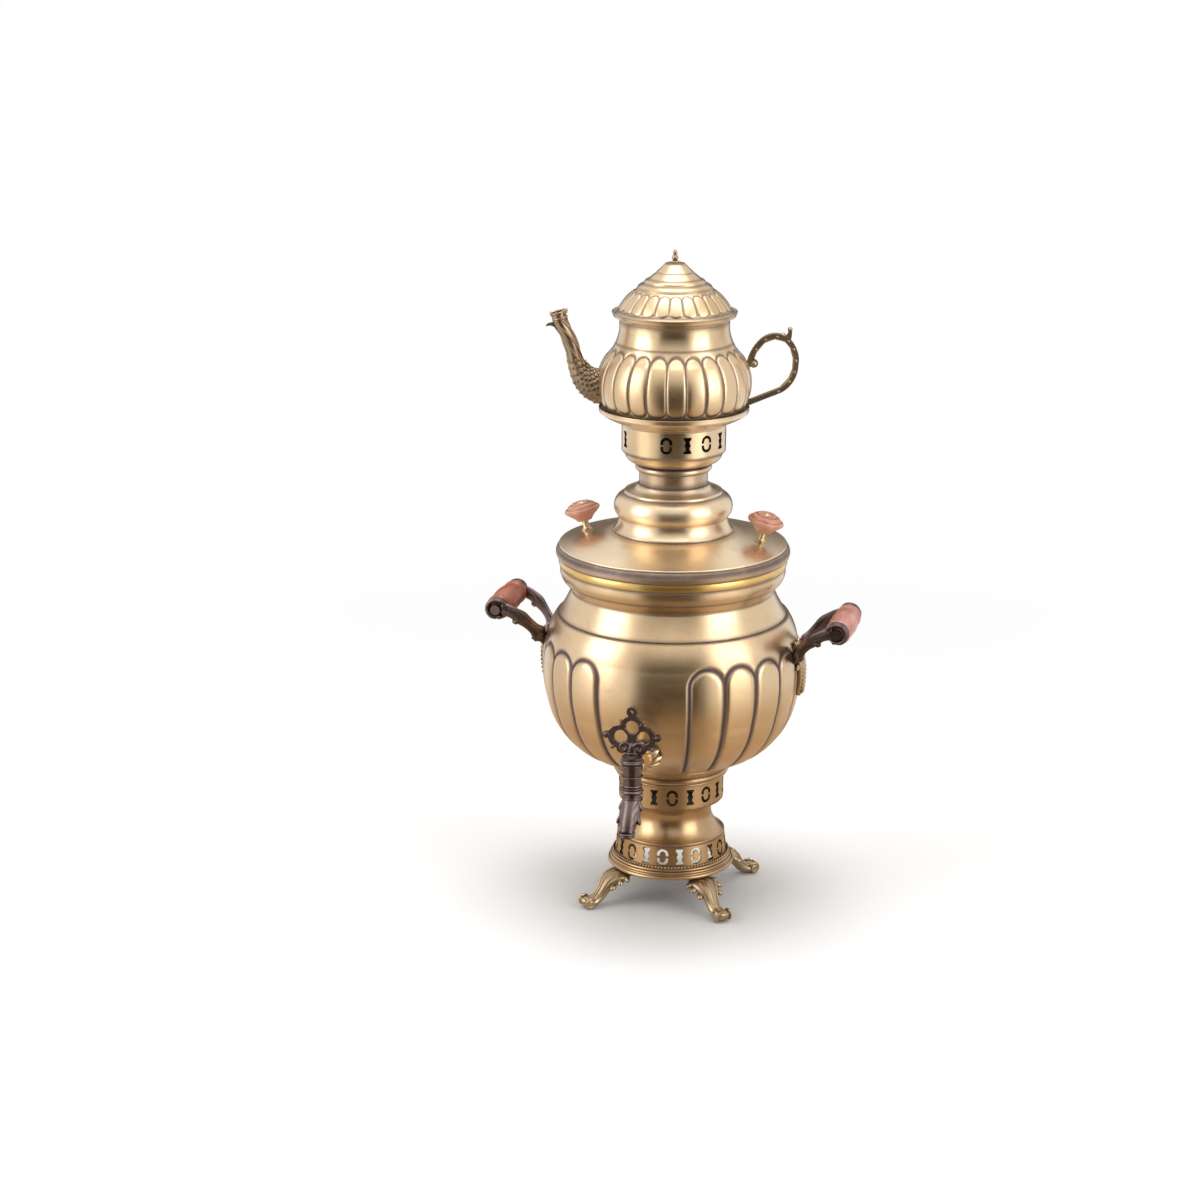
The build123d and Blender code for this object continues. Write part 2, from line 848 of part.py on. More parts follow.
def tap_body():
    """Tail, pipe, upright barrel and bent spout in one casting, bored through."""
    low, high = barrel_low(), barrel_top()
    barrel = Pos(0, -tap_reach, 0) * turned([
        (0.0, low),
        (barrel_radius - 1.0, low),
        ((barrel_radius + 0.8, low + 2.0), (barrel_radius - 0.8, low + 4.0)),
        (barrel_radius - 0.8, low + 6.0),
        ((barrel_radius + 0.2, low + 7.2), (barrel_radius - 0.8, low + 8.4)),
        (barrel_radius - 0.8, high - 4.0),
        ((barrel_radius + 0.8, high - 2.0), (barrel_radius - 0.6, high)),
        (0.0, high),
        (0.0, low),
    ])
    lip = Pos(0, -outlet_reach, 0) * turned([
        (0.0, outlet_height),
        (outlet_radius, outlet_height),
        ((outlet_radius + 1.3, outlet_height + 1.5), (outlet_radius, outlet_height + 3.0)),
        (0.0, outlet_height + 3.0),
        (0.0, outlet_height),
    ])
    casting = tap_pipe(pipe_radius) - urn_block()
    casting += [tap_tail(tail_radius), barrel, lip, spout_bar(barrel_radius - 1.2, outlet_radius, 1.0)]
    gap = plug_clearance
    seat = Pos(0, -tap_reach, 0) * turned([
        (0.0, low + barrel_floor),
        (plug_bottom_radius + gap, low + barrel_floor),
        (plug_top_radius + gap, high),
        (0.0, high),
        (0.0, low + barrel_floor),
    ])
    bend = placed(Sphere(pipe_bore + 0.4), tap_seat())
    bores = [tap_pipe(pipe_bore), tap_tail(pipe_bore, 1.0), bend, seat]
    return casting - bores - spout_bar(outlet_bore, outlet_bore, barrel_floor + 1.0, 1.0)


def tap_washer():
    """Washer inside the urn, shaped to the wall."""
    depth = urn_wall + washer_thickness + 1.5
    disc = placed(ring(washer_radius, tail_radius + hole_clearance, -depth, 0.0), tap_seat())
    return disc & urn_cavity(seat_gap)


def tap_nut():
    """Six-sided nut that draws the tap's tail tight from inside."""
    low = -(urn_wall + washer_thickness + 1.5 + lock_nut_height)
    blank = extrude(Plane(origin=(0, 0, low)) * RegularPolygon(lock_nut_radius, 6), lock_nut_height)
    return placed(blank - pin(tail_radius, low - 1.0, 0.0), tap_seat())


def key_plate():
    """Pierced trefoil plate with a ring on top and a bud at each side."""
    spread, lobe, hole = key_lobe_spread, key_lobe_radius, key_lobe_hole
    lobes = [(-spread, -2.0), (spread, -2.0), (0.0, 7.0)]
    face = Circle(lobe * 0.9)
    for x, y in lobes:
        face += Pos(x, y) * Circle(lobe)
    for side in (-1, 1):
        face += Pos(side * (spread + lobe + 1.5), -1.0) * Circle(3.0)
        face += Pos(side * spread * 0.8, -12.0) * Circle(4.6)
    ring_at = key_plate_height / 2 + key_ring_radius - 0.8
    face += Pos(0, ring_at) * Circle(key_ring_radius)
    face += Pos(0, -key_plate_height / 2 + 3.0) * Rectangle(8.0, 8.0)
    for x, y in lobes:
        face -= Pos(x * 0.9, y) * Circle(hole)
    for side in (-1, 1):
        face -= Pos(side * spread * 0.8, -12.4) * Circle(2.2)
    face -= Pos(0, ring_at) * Circle(key_ring_hole)
    return face


def tap_key():
    """Hollow tapered plug with a port in its side, and the pierced plate that turns it."""
    low, high = barrel_low() + barrel_floor + key_lift, barrel_top()
    collar_low = high + key_lift
    stem_top = collar_low + 4.0 + 6.0
    body = turned([
        (0.0, low),
        (plug_bottom_radius, low),
        (plug_top_radius, high),
        (plug_top_radius, collar_low),
        (barrel_radius, collar_low),
        (barrel_radius, collar_low + 2.0),
        (4.5, collar_low + 4.0),
        (4.5, stem_top),
        (0.0, stem_top),
        (0.0, low),
    ])
    middle = collar_low + 4.0 + key_plate_height / 2
    plate = extrude(
        Plane(origin=(0, 0, middle), x_dir=(1, 0, 0), z_dir=(0, -1, 0)) * key_plate(),
        key_plate_thickness / 2,
        both=True,
    )
    hollow = pin(plug_bore, low - 1.0, tap_height + plug_bore)
    port = extrude(radial_plane(0.0, tap_height) * Circle(plug_bore), barrel_radius)
    return Pos(0, -tap_reach, 0) * (body + plate - [hollow, port])


# Lid


def plate_path():
    """Outer face of the lid's sloping plate, from its edge to the hole under the dome."""
    edge, flat = mouth_radius + 0.8, dome_foot_radius + 1.2
    return [(edge, plate_z), (edge, plate_z + 1.8), (flat, dome_z), (tube_hole + 17.0, dome_z)]


def lid_rim():
    """Rolled rim, open to the inside."""
    bulge = mouth_radius + lid_rim_bulge
    return turned(sheet([
        (skirt_radius, lid_z),
        (bulge - 1.6, lid_z),
        ((bulge, (lid_z + plate_z) / 2), (bulge - 2.4, plate_z)),
        (mouth_radius - 2.0, plate_z),
    ], lid_wall))


def lid_skirt():
    """Band under the rim that centres the lid in the urn's mouth."""
    return ring(skirt_radius, skirt_radius - lid_wall, lid_z - lid_skirt_depth, lid_z + lid_wall)


def lid_plate():
    holes = [placed(pin(stem_shank_radius, -10.0, 5.0), knob_seat(a)) for a in (0.0, 180.0)]
    return turned(sheet(plate_path(), lid_wall)) - holes


def lid_dome():
    """Stepped dome between the plate and the crown, open round the fire tube."""
    foot, bulge, low = dome_foot_radius, dome_bulge_radius, dome_z
    neck = crown_neck_radius + 1.4
    return turned(sheet([
        (foot, low),
        (foot, low + 1.8),
        ((foot - 4.0, low + 7.5), (foot - 4.6, low + 13.5)),
        ((bulge, low + 25.5), (bulge - 5.5, low + 33.0)),
        (bulge - 8.5, low + 34.2),
        ((bulge - 9.0, low + 36.2), (bulge - 11.6, low + 36.9)),
        ((neck + 3.6, crown_z - 4.0), (neck, crown_z)),
        (tube_hole, crown_z),
    ], lid_wall))


def knob_seat(azimuth):
    """Frame on the sloping plate where a knob stands: z points straight out of the plate."""
    start, end = legs_of(plate_path())[1][0], legs_of(plate_path())[1][2]
    slope = (end[1] - start[1]) / (start[0] - end[0])
    height = start[1] + slope * (start[0] - knob_place)
    return radial_plane(azimuth, height, knob_place, degrees(atan(slope)) - 90.0)


def plate_block():
    """The lid's plate without its underside, for parting off what stands on it."""
    return filled(plate_path()[:3])


def knob_stem(azimuth):
    """Brass stem with its foot on the plate, a shank through it and a pin in the knob."""
    foot_part = turned([
        (0.0, -1.5),
        (stem_foot_radius, -1.5),
        (stem_foot_radius, 1.2),
        ((stem_radius + 0.5, 2.2), (stem_radius, 4.4)),
        (stem_radius, stem_height),
        (0.0, stem_height),
        (0.0, -1.5),
    ])
    shank = pin(stem_shank_radius, -lid_wall - knob_nut_height - 2.0, knob_pin_height)
    seat = knob_seat(azimuth)
    return placed(foot_part, seat) - plate_block() + placed(shank, seat)


def knob_nut(azimuth):
    """Nut on the stem's shank, bedded to the underside of the plate."""
    low = -lid_wall - knob_nut_height
    blank = extrude(Plane(origin=(0, 0, low)) * RegularPolygon(knob_nut_radius, 6), -low)
    nut = blank - pin(stem_shank_radius, low - 1.0, 1.0)
    under = beside(plate_path(), lid_wall)
    room = turned([*under, (0.0, dome_z), (0.0, 0.0), (skirt_radius, 0.0), under[0]])
    return placed(nut, knob_seat(azimuth)) & room


def knob(azimuth):
    """Turned wooden knob: a narrow foot, a wide edge, two ridges and a dimple for the screw."""
    low, high, bore = stem_height, stem_height + knob_height, stem_shank_radius + hole_clearance
    wood = turned([
        (bore, low),
        (knob_radius * 0.42, low),
        ((knob_radius * 0.6, low + 3.6), (knob_radius * 0.82, low + 6.2)),
        (knob_radius * 0.84, low + 7.6),
        ((knob_radius, low + 9.8), (knob_radius * 0.9, low + 12.2)),
        (knob_radius * 0.82, low + 11.8),
        ((knob_radius * 0.74, high - 2.6), (knob_radius * 0.6, high - 1.6)),
        (knob_radius * 0.54, high - 2.2),
        ((knob_radius * 0.44, high), (knob_radius * 0.32, high - 0.8)),
        (knob_radius * 0.26, high - knob_dimple),
        (bore, high - knob_dimple),
        (bore, low),
    ])
    return placed(wood, knob_seat(azimuth))


def knob_screw(azimuth):
    """Round-headed screw in the knob's dimple."""
    top = stem_height + knob_height
    screw = turned([
        (0.0, knob_pin_height),
        (stem_shank_radius, knob_pin_height),
        (stem_shank_radius, top - knob_dimple),
        (knob_radius * 0.25, top - knob_dimple),
        ((knob_radius * 0.18, top - 0.3), (0.6, top + 0.1)),
        (0.0, top + 0.1),
        (0.0, knob_pin_height),
    ])
    return placed(screw, knob_seat(azimuth))


# Crown


def crown_neck():
    """Short neck with a bead, round the top of the fire tube."""
    low, high, radius = crown_z, bowl_z, crown_neck_radius
    return turned(sheet([
        (radius, low),
        (radius, high - 8.0),
        ((radius + crown_bead, high - 4.8), (radius + 1.0, high - 1.6)),
        (radius + 1.0, high),
    ], stand_wall))


def crown_bowl():
    """Flared bowl under the crown's gallery."""
    radius, low = crown_gallery_radius, bowl_z
    return turned(sheet([
        (tube_hole, low),
        (radius - 9.8, low),
        ((radius - 4.6, low + 3.4), (radius - 2.6, low + 7.6)),
        (radius, crown_gallery_z - 1.8),
        (radius, crown_gallery_z),
    ], stand_wall))


def crown_gallery():
    """Gallery whose pattern leaves its seam plain."""
    radius = crown_gallery_radius
    wall = gallery_wall(radius, radius, crown_gallery_z, dish_z)
    middle = (crown_gallery_z + dish_z) / 2
    return pierced(wall, middle, crown_gallery_start, crown_gallery_places, crown_gallery_step)


def crown_dish():
    """Dish that holds the teapot, with a hole for the heat."""
    low = dish_z
    return turned(sheet([
        (dish_hole_radius, low),
        (crown_gallery_radius + 0.8, low),
        (crown_gallery_radius + 1.4, low + 2.5),
        ((dish_radius - 8.6, low + 6.0), (dish_radius - 0.5, low + 11.0)),
        (dish_radius, low + dish_height),
    ], stand_wall))


# Teapot


def pot_path():
    """Outer face of the teapot from the middle of its bottom to its rim."""
    return [
        (0.0, pot_z),
        (pot_foot_radius, pot_z),
        ((pot_radius - 15.8, pot_z + 5.6), (pot_radius - 7.3, pot_z + 12.0)),
        ((pot_radius, pot_z + 37.0), (pot_radius - 7.1, pot_z + 57.5)),
        ((pot_neck_radius + 3.4, pot_z + 70.0), (pot_neck_radius, pot_neck_z)),
        (pot_neck_radius, pot_rim_z),
    ]


def pot_block():
    """The teapot without its hollow, for parting off what is soldered on it."""
    return turned(pot_path() + [(0.0, pot_rim_z), (0.0, pot_z)])


def pot_body():
    """Body, neck and the ledge with its lip, and the strainer holes behind the spout."""
    lip_z, ledge = pot_seat_z + pot_lip_height, pot_lip_radius - 2.6
    rim = turned([
        (pot_opening, pot_rim_z),
        (pot_neck_radius, pot_rim_z),
        ((pot_neck_radius + 1.2, pot_seat_z - 2.2), (ledge + 1.0, pot_seat_z - 1.0)),
        (pot_lip_radius, lip_z),
        (pot_lip_radius - 1.2, lip_z),
        (ledge, pot_seat_z),
        (pot_opening, pot_seat_z),
        (pot_opening, pot_rim_z),
    ])
    holes = []
    middle = radial_plane(180.0 + pot_turn, pot_z + 27.0, pot_foot_radius)
    for place in range(7):
        turn, out = radians(60 * place), 0.0 if place == 6 else strainer_pitch
        spot = Pos(out * cos(turn), out * sin(turn)) * Circle(strainer_hole_radius)
        holes.append(extrude(middle * spot, pot_radius))
    return turned(sheet(pot_path(), pot_wall)) + rim - [*holes, *pot_flutes()]


def pot_flutes():
    """Lines round the teapot's lobes, rounded at both ends."""
    path, pitch = pot_path(), 360.0 / pot_lobes
    sides = [270.0 + pitch * (place + 0.5) for place in range(pot_lobes)]
    middles = [side + pitch / 2 for side in sides]
    low, high = pot_z + pot_lobe_foot, pot_z + pot_lobe_top
    low += radius_at(path, low) * sin(radians(pitch / 2))
    high -= radius_at(path, high) * sin(radians(pitch / 2))
    return [
        chased_sides(path, pot_line_depth, sides, low, high),
        chased_arches(path, pot_line_depth, middles, pitch, low, -1),
        chased_arches(path, pot_line_depth, middles, pitch, high, 1),
    ]


def spout_core(inset, past=0.0):
    """Bent taper of the spout, smaller all round by `inset` and longer by `past`."""
    sections = []
    for out, up, lean, radius in [
        (-17.0, 30.0, 88.0, 14.6),
        (-2.0, 30.8, 84.0, 15.0),
        (6.5, 34.2, 66.0, 13.0),
        (13.0, 41.0, 42.0, 10.4),
        (19.2, 54.0, 14.0, 7.0),
        (22.0, 66.0, 13.0, 6.1),
        (26.2, 77.0, 24.0, 5.8),
        (31.2, 86.0, 26.0, 5.9),
        (33.7, 96.5, 14.0, 6.3),
    ]:
        a = radians(lean)
        plane = Plane(
            origin=(pot_radius + out, 0, pot_z + up), x_dir=(0, 1, 0), z_dir=(sin(a), 0, cos(a))
        )
        sections.append(plane * Circle(radius - inset))
    sections[-1] = plane.offset(past) * Circle(radius - inset)
    return loft(sections)


def pot_spout():
    """Cast spout with an open beak: a flared upper edge and a pointed lower lip."""
    out, up, tilt = pot_radius + 33.7, pot_z + 96.5, radians(14.0)
    edge = Plane(origin=(out, 0, up), x_dir=(0, 1, 0), z_dir=(sin(tilt), 0, cos(tilt)))
    flare = placed(pin(7.2, -1.8, 0.4), edge)
    lip = outline_face([
        (out - 4.0, up - 16.5),
        (out + 2.0, up - 15.0),
        ((out + 6.0, up - 11.6), (out + 11.0, up - 12.4)),
        (out + 10.4, up - 10.8),
        ((out + 5.0, up - 9.0), (out + 1.0, up - 9.4)),
        (out - 4.0, up - 16.5),
    ])
    lip = extrude(side_plane(0.0) * lip, 2.6, both=True)
    turn = Rot(0, 0, 180.0 + pot_turn)
    spout = turn * (spout_core(0.0) + [flare, lip]) - pot_block()
    return spout - turn * spout_core(spout_wall, 2.0)


def pot_handle():
    """Cast strap handle with a curl at its root and a spur for the thumb."""
    out, up = pot_radius, pot_z
    path = [
        (out - 2.4, up + 49.0),
        ((out + 2.4, up + 63.0), (out + 10.0, up + 72.0)),
        ((out + 20.0, up + 75.8), (out + 30.0, up + 73.0)),
        ((out + 37.8, up + 62.4), (out + 38.8, up + 50.0)),
        ((out + 35.4, up + 37.6), (out + 25.0, up + 27.6)),
        (out - 5.0, up + 15.6),
    ]
    face = outline_face(strap(path, strap_thickness))
    spur = outline_face([
        (out + 25.0, up + 74.4),
        ((out + 30.0, up + 76.0), (out + 31.6, up + 82.0)),
        (out + 34.8, up + 81.0),
        ((out + 34.6, up + 76.0), (out + 33.0, up + 70.0)),
        (out + 25.0, up + 74.4),
    ])
    bar = extrude(side_plane(0.0) * face, strap_width / 2, both=True)
    bar += extrude(side_plane(0.0) * spur, strap_width / 2 - 1.0, both=True)
    curl = Plane(origin=(out + 2.0, 0, up + 51.6), z_dir=(0, 1, 0)) * Circle(3.4)
    bar += extrude(curl, strap_width / 2, both=True)
    return Rot(0, 0, pot_turn) * bar - pot_block()


# Lid of the teapot


def pot_lid_path():
    """Outer face of the teapot's lid, from under its brim to its top."""
    inner, top = pot_opening - pot_lid_clearance - pot_skirt_wall, pot_lid_z
    brim, low = pot_lid_radius, pot_seat_z
    return [
        (inner, low),
        (brim, low),
        (brim, low + 2.4),
        (brim - 2.8, low + 4.6),
        ((brim - 9.4, low + 14.6), (brim - 18.6, low + 22.4)),
        (brim - 19.6, low + 24.6),
        ((brim - 22.6, low + 26.6), (brim - 25.4, low + 28.0)),
        ((brim - 34.6, low + 35.6), (8.6, top - 0.6)),
        (7.4, top),
        (0.0, top),
    ]


def pot_lid():
    """Stepped lid with the lobes of the teapot carried on over its lower bell."""
    hole = pin(finial_shank_radius, pot_lid_z - 5.0, pot_lid_z + 1.0)
    pitch = 360.0 / pot_lobes
    sides = [270.0 + pitch * (place + 0.5) for place in range(pot_lobes)]
    low, high = pot_seat_z + lid_lobe_foot, pot_seat_z + lid_lobe_top
    lines = chased_sides(pot_lid_path(), lid_line_depth, sides, low, high)
    return turned(sheet(pot_lid_path(), pot_lid_wall)) - [hole, lines]


def pot_lid_skirt():
    """Band under the lid that keeps it in the teapot's neck."""
    outer = pot_opening - pot_lid_clearance
    return ring(outer, outer - pot_skirt_wall, pot_seat_z - pot_skirt_depth, pot_seat_z)


def finial():
    """Two turned beads on a screwed shank."""
    low, tip = pot_lid_z, pot_lid_z + finial_height
    return turned([
        (0.0, low - 5.0),
        (finial_shank_radius, low - 5.0),
        (finial_shank_radius, low),
        (finial_radius, low),
        (finial_radius, low + 0.8),
        (1.6, low + 2.2),
        ((finial_radius * 0.8, low + 4.4), (1.4, low + 6.6)),
        ((1.9, tip - 2.2), (0.5, tip)),
        (0.0, tip),
        (0.0, low - 5.0),
    ])


def finial_nut():
    high = pot_lid_z - pot_lid_wall
    return ring(finial_nut_radius, finial_shank_radius, high - finial_nut_height, high)


nodes = {
    "base_ring": base_ring(),
    "lower_gallery": low_gallery(),
    "waist": waist(),
    "upper_gallery": high_gallery(),
    "collar": collar(),
    "vessel_floor": vessel_floor(),
    "urn_shell": urn_shell(),
    "urn_neck": urn_neck(),
    "mouth_ring": mouth_ring(),
    "fire_tube": fire_tube(),
    "fire_grate": fire_grate(),
    "tap_flange": tap_flange(),
    "tap_body": tap_body(),
    "tap_washer": tap_washer(),
    "tap_nut": tap_nut(),
    "tap_key": tap_key(),
    "lid_rim": lid_rim(),
    "lid_skirt": lid_skirt(),
    "lid_plate": lid_plate(),
    "lid_dome": lid_dome(),
    "crown_neck": crown_neck(),
    "crown_bowl": crown_bowl(),
    "crown_gallery": crown_gallery(),
    "crown_dish": crown_dish(),
    "teapot_body": pot_body(),
    "teapot_spout": pot_spout(),
    "teapot_handle": pot_handle(),
    "teapot_lid": pot_lid(),
    "teapot_lid_skirt": pot_lid_skirt(),
    "teapot_finial": finial(),
    "teapot_finial_nut": finial_nut(),
}
for place, azimuth in foot_azimuths.items():
    nodes[f"{place}_foot"] = foot(azimuth)
for side, azimuth in (("right", 0.0), ("left", 180.0)):
    nodes[f"{side}_handle_bracket"] = handle_bracket(azimuth)
    nodes[f"{side}_handle_grip"] = grip(azimuth)
    nodes[f"{side}_handle_rod"] = grip_rod(azimuth)
    nodes[f"{side}_handle_rivets"] = Compound(handle_rivets(azimuth))
    nodes[f"{side}_knob_stem"] = knob_stem(azimuth)
    nodes[f"{side}_knob_nut"] = knob_nut(azimuth)
    nodes[f"{side}_knob"] = knob(azimuth)
    nodes[f"{side}_knob_screw"] = knob_screw(azimuth)

os.makedirs("parts", exist_ok=True)
for name, solid in nodes.items():
    export_step(solid, f"parts/{name}.step")
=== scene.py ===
import json
from math import atan2, ceil, cos, degrees, exp, hypot, pi, radians, sin

import bmesh
import bpy
from mathutils import Matrix, Vector


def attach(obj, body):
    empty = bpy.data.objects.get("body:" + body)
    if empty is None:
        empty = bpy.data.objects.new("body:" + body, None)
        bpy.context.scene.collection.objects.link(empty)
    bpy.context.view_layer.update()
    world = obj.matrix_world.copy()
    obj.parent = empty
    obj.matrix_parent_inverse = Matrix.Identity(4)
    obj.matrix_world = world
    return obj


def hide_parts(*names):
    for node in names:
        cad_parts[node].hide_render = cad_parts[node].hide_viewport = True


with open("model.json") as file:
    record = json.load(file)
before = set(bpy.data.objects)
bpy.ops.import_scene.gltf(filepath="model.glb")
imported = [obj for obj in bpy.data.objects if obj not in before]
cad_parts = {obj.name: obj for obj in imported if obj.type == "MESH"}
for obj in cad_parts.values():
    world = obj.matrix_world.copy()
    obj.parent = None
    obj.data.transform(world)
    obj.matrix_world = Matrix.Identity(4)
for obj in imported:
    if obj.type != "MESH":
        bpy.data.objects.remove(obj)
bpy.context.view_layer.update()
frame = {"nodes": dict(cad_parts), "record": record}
mm = 0.001
print("frame loaded:", len(frame["nodes"]), "nodes")


# Node helpers

def addNode(tree, kind, inputs=None, **settings):
    node = tree.nodes.new(kind)
    for key, value in settings.items():
        setattr(node, key, value)
    for key, value in (inputs or {}).items():
        if isinstance(value, bpy.types.NodeSocket):
            tree.links.new(value, node.inputs[key])
        else:
            node.inputs[key].default_value = value
    return node


def mathNode(tree, operation, *values):
    node = addNode(tree, "ShaderNodeMath", dict(enumerate(values)), operation=operation)
    return node.outputs[0]


def vectorNode(tree, operation, *values):
    return addNode(tree, "ShaderNodeVectorMath", dict(enumerate(values)), operation=operation)


def remap(tree, value, fromLow, fromHigh, toLow=0.0, toHigh=1.0):
    node = addNode(
        tree,
        "ShaderNodeMapRange",
        {0: value, 1: fromLow, 2: fromHigh, 3: toLow, 4: toHigh},
        interpolation_type="SMOOTHSTEP",
    )
    return node.outputs[0]


def mixColours(tree, share, first, second):
    sides = [(*side, 1.0) if isinstance(side, tuple) else side for side in (first, second)]
    node = addNode(tree, "ShaderNodeMix", {0: share, 6: sides[0], 7: sides[1]}, data_type="RGBA")
    return node.outputs[2]


def noiseField(tree, vector, scale, detail, roughness):
    node = addNode(
        tree,
        "ShaderNodeTexNoise",
        {"Vector": vector, "Scale": scale, "Detail": detail, "Roughness": roughness},
    )
    return node.outputs["Fac"]


def hollowShade(tree, distance):
    return addNode(
        tree, "ShaderNodeAmbientOcclusion", {"Distance": distance}, samples=8
    ).outputs["AO"]


def addBump(tree, shader, height, depth, strength):
    bump = addNode(tree, "ShaderNodeBump", {"Height": height, "Distance": depth, "Strength": strength})
    tree.links.new(bump.outputs[0], shader.inputs["Normal"])


def newMaterial(name):
    material = bpy.data.materials.new(name)
    material.use_nodes = True
    tree = material.node_tree
    shader = tree.nodes["Principled BSDF"]
    place = addNode(tree, "ShaderNodeTexCoord").outputs["Object"]
    return material, tree, shader, place


def showThrough(tree, share, first, second):
    # The material's surface: the first shader, and the second where share is 1.
    both = addNode(tree, "ShaderNodeMixShader", {0: share})
    tree.links.new(first.outputs[0], both.inputs[1])
    tree.links.new(second.outputs[0], both.inputs[2])
    tree.links.new(both.outputs[0], tree.nodes["Material Output"].inputs["Surface"])


# Metals

# What all the metals share: (scale, detail, roughness) of each noise, then how age and lacquer show.
metalMarks = dict(
    clouds=(16.0, 3.0, 0.5), stains=(95.0, 6.0, 0.62), grain=(900.0, 3.0, 0.6), rings=(1400.0, 4.0, 0.6),
    ringDrift=0.0012, crevice=(0.85, 0.35), patinaRough=0.22, innerRough=0.25, patinaMetal=0.45,
    leastMetal=0.3, coatRoughness=0.28, coatIor=1.8, reliefDepth=0.0002, reliefStrength=0.35, spunTurn=0.25,
)


def latheVector(tree, place):
    # Distance from the lathe's axis and height along it, which a tool mark follows.
    parts = addNode(tree, "ShaderNodeSeparateXYZ", {0: place}).outputs
    squares = [mathNode(tree, "POWER", part, 2.0) for part in (parts[0], parts[1])]
    reach = mathNode(tree, "SQRT", mathNode(tree, "ADD", *squares))
    turn = mathNode(tree, "ARCTAN2", parts[1], parts[0])
    slow = mathNode(tree, "MULTIPLY", turn, metalMarks["ringDrift"])
    return addNode(tree, "ShaderNodeCombineXYZ", {0: reach, 1: slow, 2: parts[2]}).outputs[0]


def metal(name, look):
    marks = metalMarks
    material, tree, shader, place = newMaterial(name)
    clouds = noiseField(tree, place, *marks["clouds"])
    stains = noiseField(tree, place, *marks["stains"])
    grain = noiseField(tree, place, *marks["grain"])
    rings = noiseField(tree, latheVector(tree, place), *marks["rings"])

    tone = mixColours(tree, remap(tree, clouds, 0.36, 0.66), look["light"], look["warm"])
    tone = mixColours(tree, remap(tree, stains, 0.52, 0.75, 0.0, look["stain"]), tone, look["dull"])

    # Old polish stays in hollows and in the chased lines.
    crevice = remap(tree, hollowShade(tree, look["hollow"]), *marks["crevice"])
    crevice = mathNode(tree, "MULTIPLY", crevice, remap(tree, stains, 0.25, 0.55, 0.55, 1.0))
    chased = addNode(tree, "ShaderNodeAttribute", attribute_name="tarnish").outputs["Fac"]
    chased = mathNode(tree, "MULTIPLY", chased, remap(tree, stains, 0.2, 0.5, 0.75, 1.0))
    patina = mathNode(tree, "MAXIMUM", crevice, chased)
    patina = mathNode(tree, "MINIMUM", mathNode(tree, "MULTIPLY", patina, look["patina"]), 1.0)
    tone = mixColours(tree, patina, tone, look["dark"])

    # Faces that look to the axis are the inside: tinned in a vessel, sooty in the stand and crown.
    flat = vectorNode(tree, "MULTIPLY", place, (1.0, 1.0, 0.0)).outputs[0]
    outward = vectorNode(tree, "NORMALIZE", flat).outputs[0]
    normal = addNode(tree, "ShaderNodeTexCoord").outputs["Normal"]
    facing = vectorNode(tree, "DOT_PRODUCT", outward, normal).outputs["Value"]
    level = mathNode(tree, "ABSOLUTE", addNode(tree, "ShaderNodeSeparateXYZ", {0: normal}).outputs[2])
    inner = remap(tree, facing, look["innerFrom"], look["innerFrom"] - 0.3)
    inner = mathNode(tree, "MULTIPLY", inner, remap(tree, level, 0.9, 0.6))
    inner = mathNode(tree, "MULTIPLY", inner, look["innerShare"])
    tone = mixColours(tree, inner, tone, look["inner"])

    brushed = mathNode(tree, "MULTIPLY", remap(tree, rings, 0.3, 0.7), look["brushed"])
    rough = mathNode(tree, "ADD", remap(tree, clouds, 0.3, 0.7, *look["rough"]), brushed)
    for share, more in ((patina, marks["patinaRough"]), (inner, marks["innerRough"])):
        rough = mathNode(tree, "ADD", rough, mathNode(tree, "MULTIPLY", share, more))
    metallic = mathNode(tree, "SUBTRACT", remap(tree, patina, 0.2, 1.0, 1.0, marks["patinaMetal"]), inner)
    metallic = mathNode(tree, "MAXIMUM", metallic, marks["leastMetal"])
    for socket, value in (("Base Color", tone), ("Roughness", rough), ("Metallic", metallic)):
        tree.links.new(value, shader.inputs[socket])
    if look["wear"]:
        # The lacquer is gone where old polish sits.
        left = mathNode(tree, "SUBTRACT", 1.0, mathNode(tree, "MULTIPLY", patina, look["wear"]))
        tree.links.new(mathNode(tree, "MULTIPLY", left, look["lacquer"]), shader.inputs["Coat Weight"])
    else:
        shader.inputs["Coat Weight"].default_value = look["lacquer"]
    shader.inputs["Coat Roughness"].default_value = marks["coatRoughness"]
    shader.inputs["Coat IOR"].default_value = marks["coatIor"]

    relief = mathNode(tree, "MULTIPLY", rings, look["brushed"] * 3.0)
    for field, height in ((grain, look["cast"]), (stains, look["cast"] * 2.0)):
        relief = mathNode(tree, "ADD", relief, mathNode(tree, "MULTIPLY", field, height))
    addBump(tree, shader, relief, marks["reliefDepth"], marks["reliefStrength"])
    if look["spun"]:
        # The lathe's marks run round the piece, so a mirror image smears up and down.
        shader.inputs["Anisotropic"].default_value = look["spun"]
        shader.inputs["Anisotropic Rotation"].default_value = marks["spunTurn"]
        aroundAxis = addNode(tree, "ShaderNodeTangent", direction_type="RADIAL", axis="Z")
        tree.links.new(aroundAxis.outputs[0], shader.inputs["Tangent"])
    return material


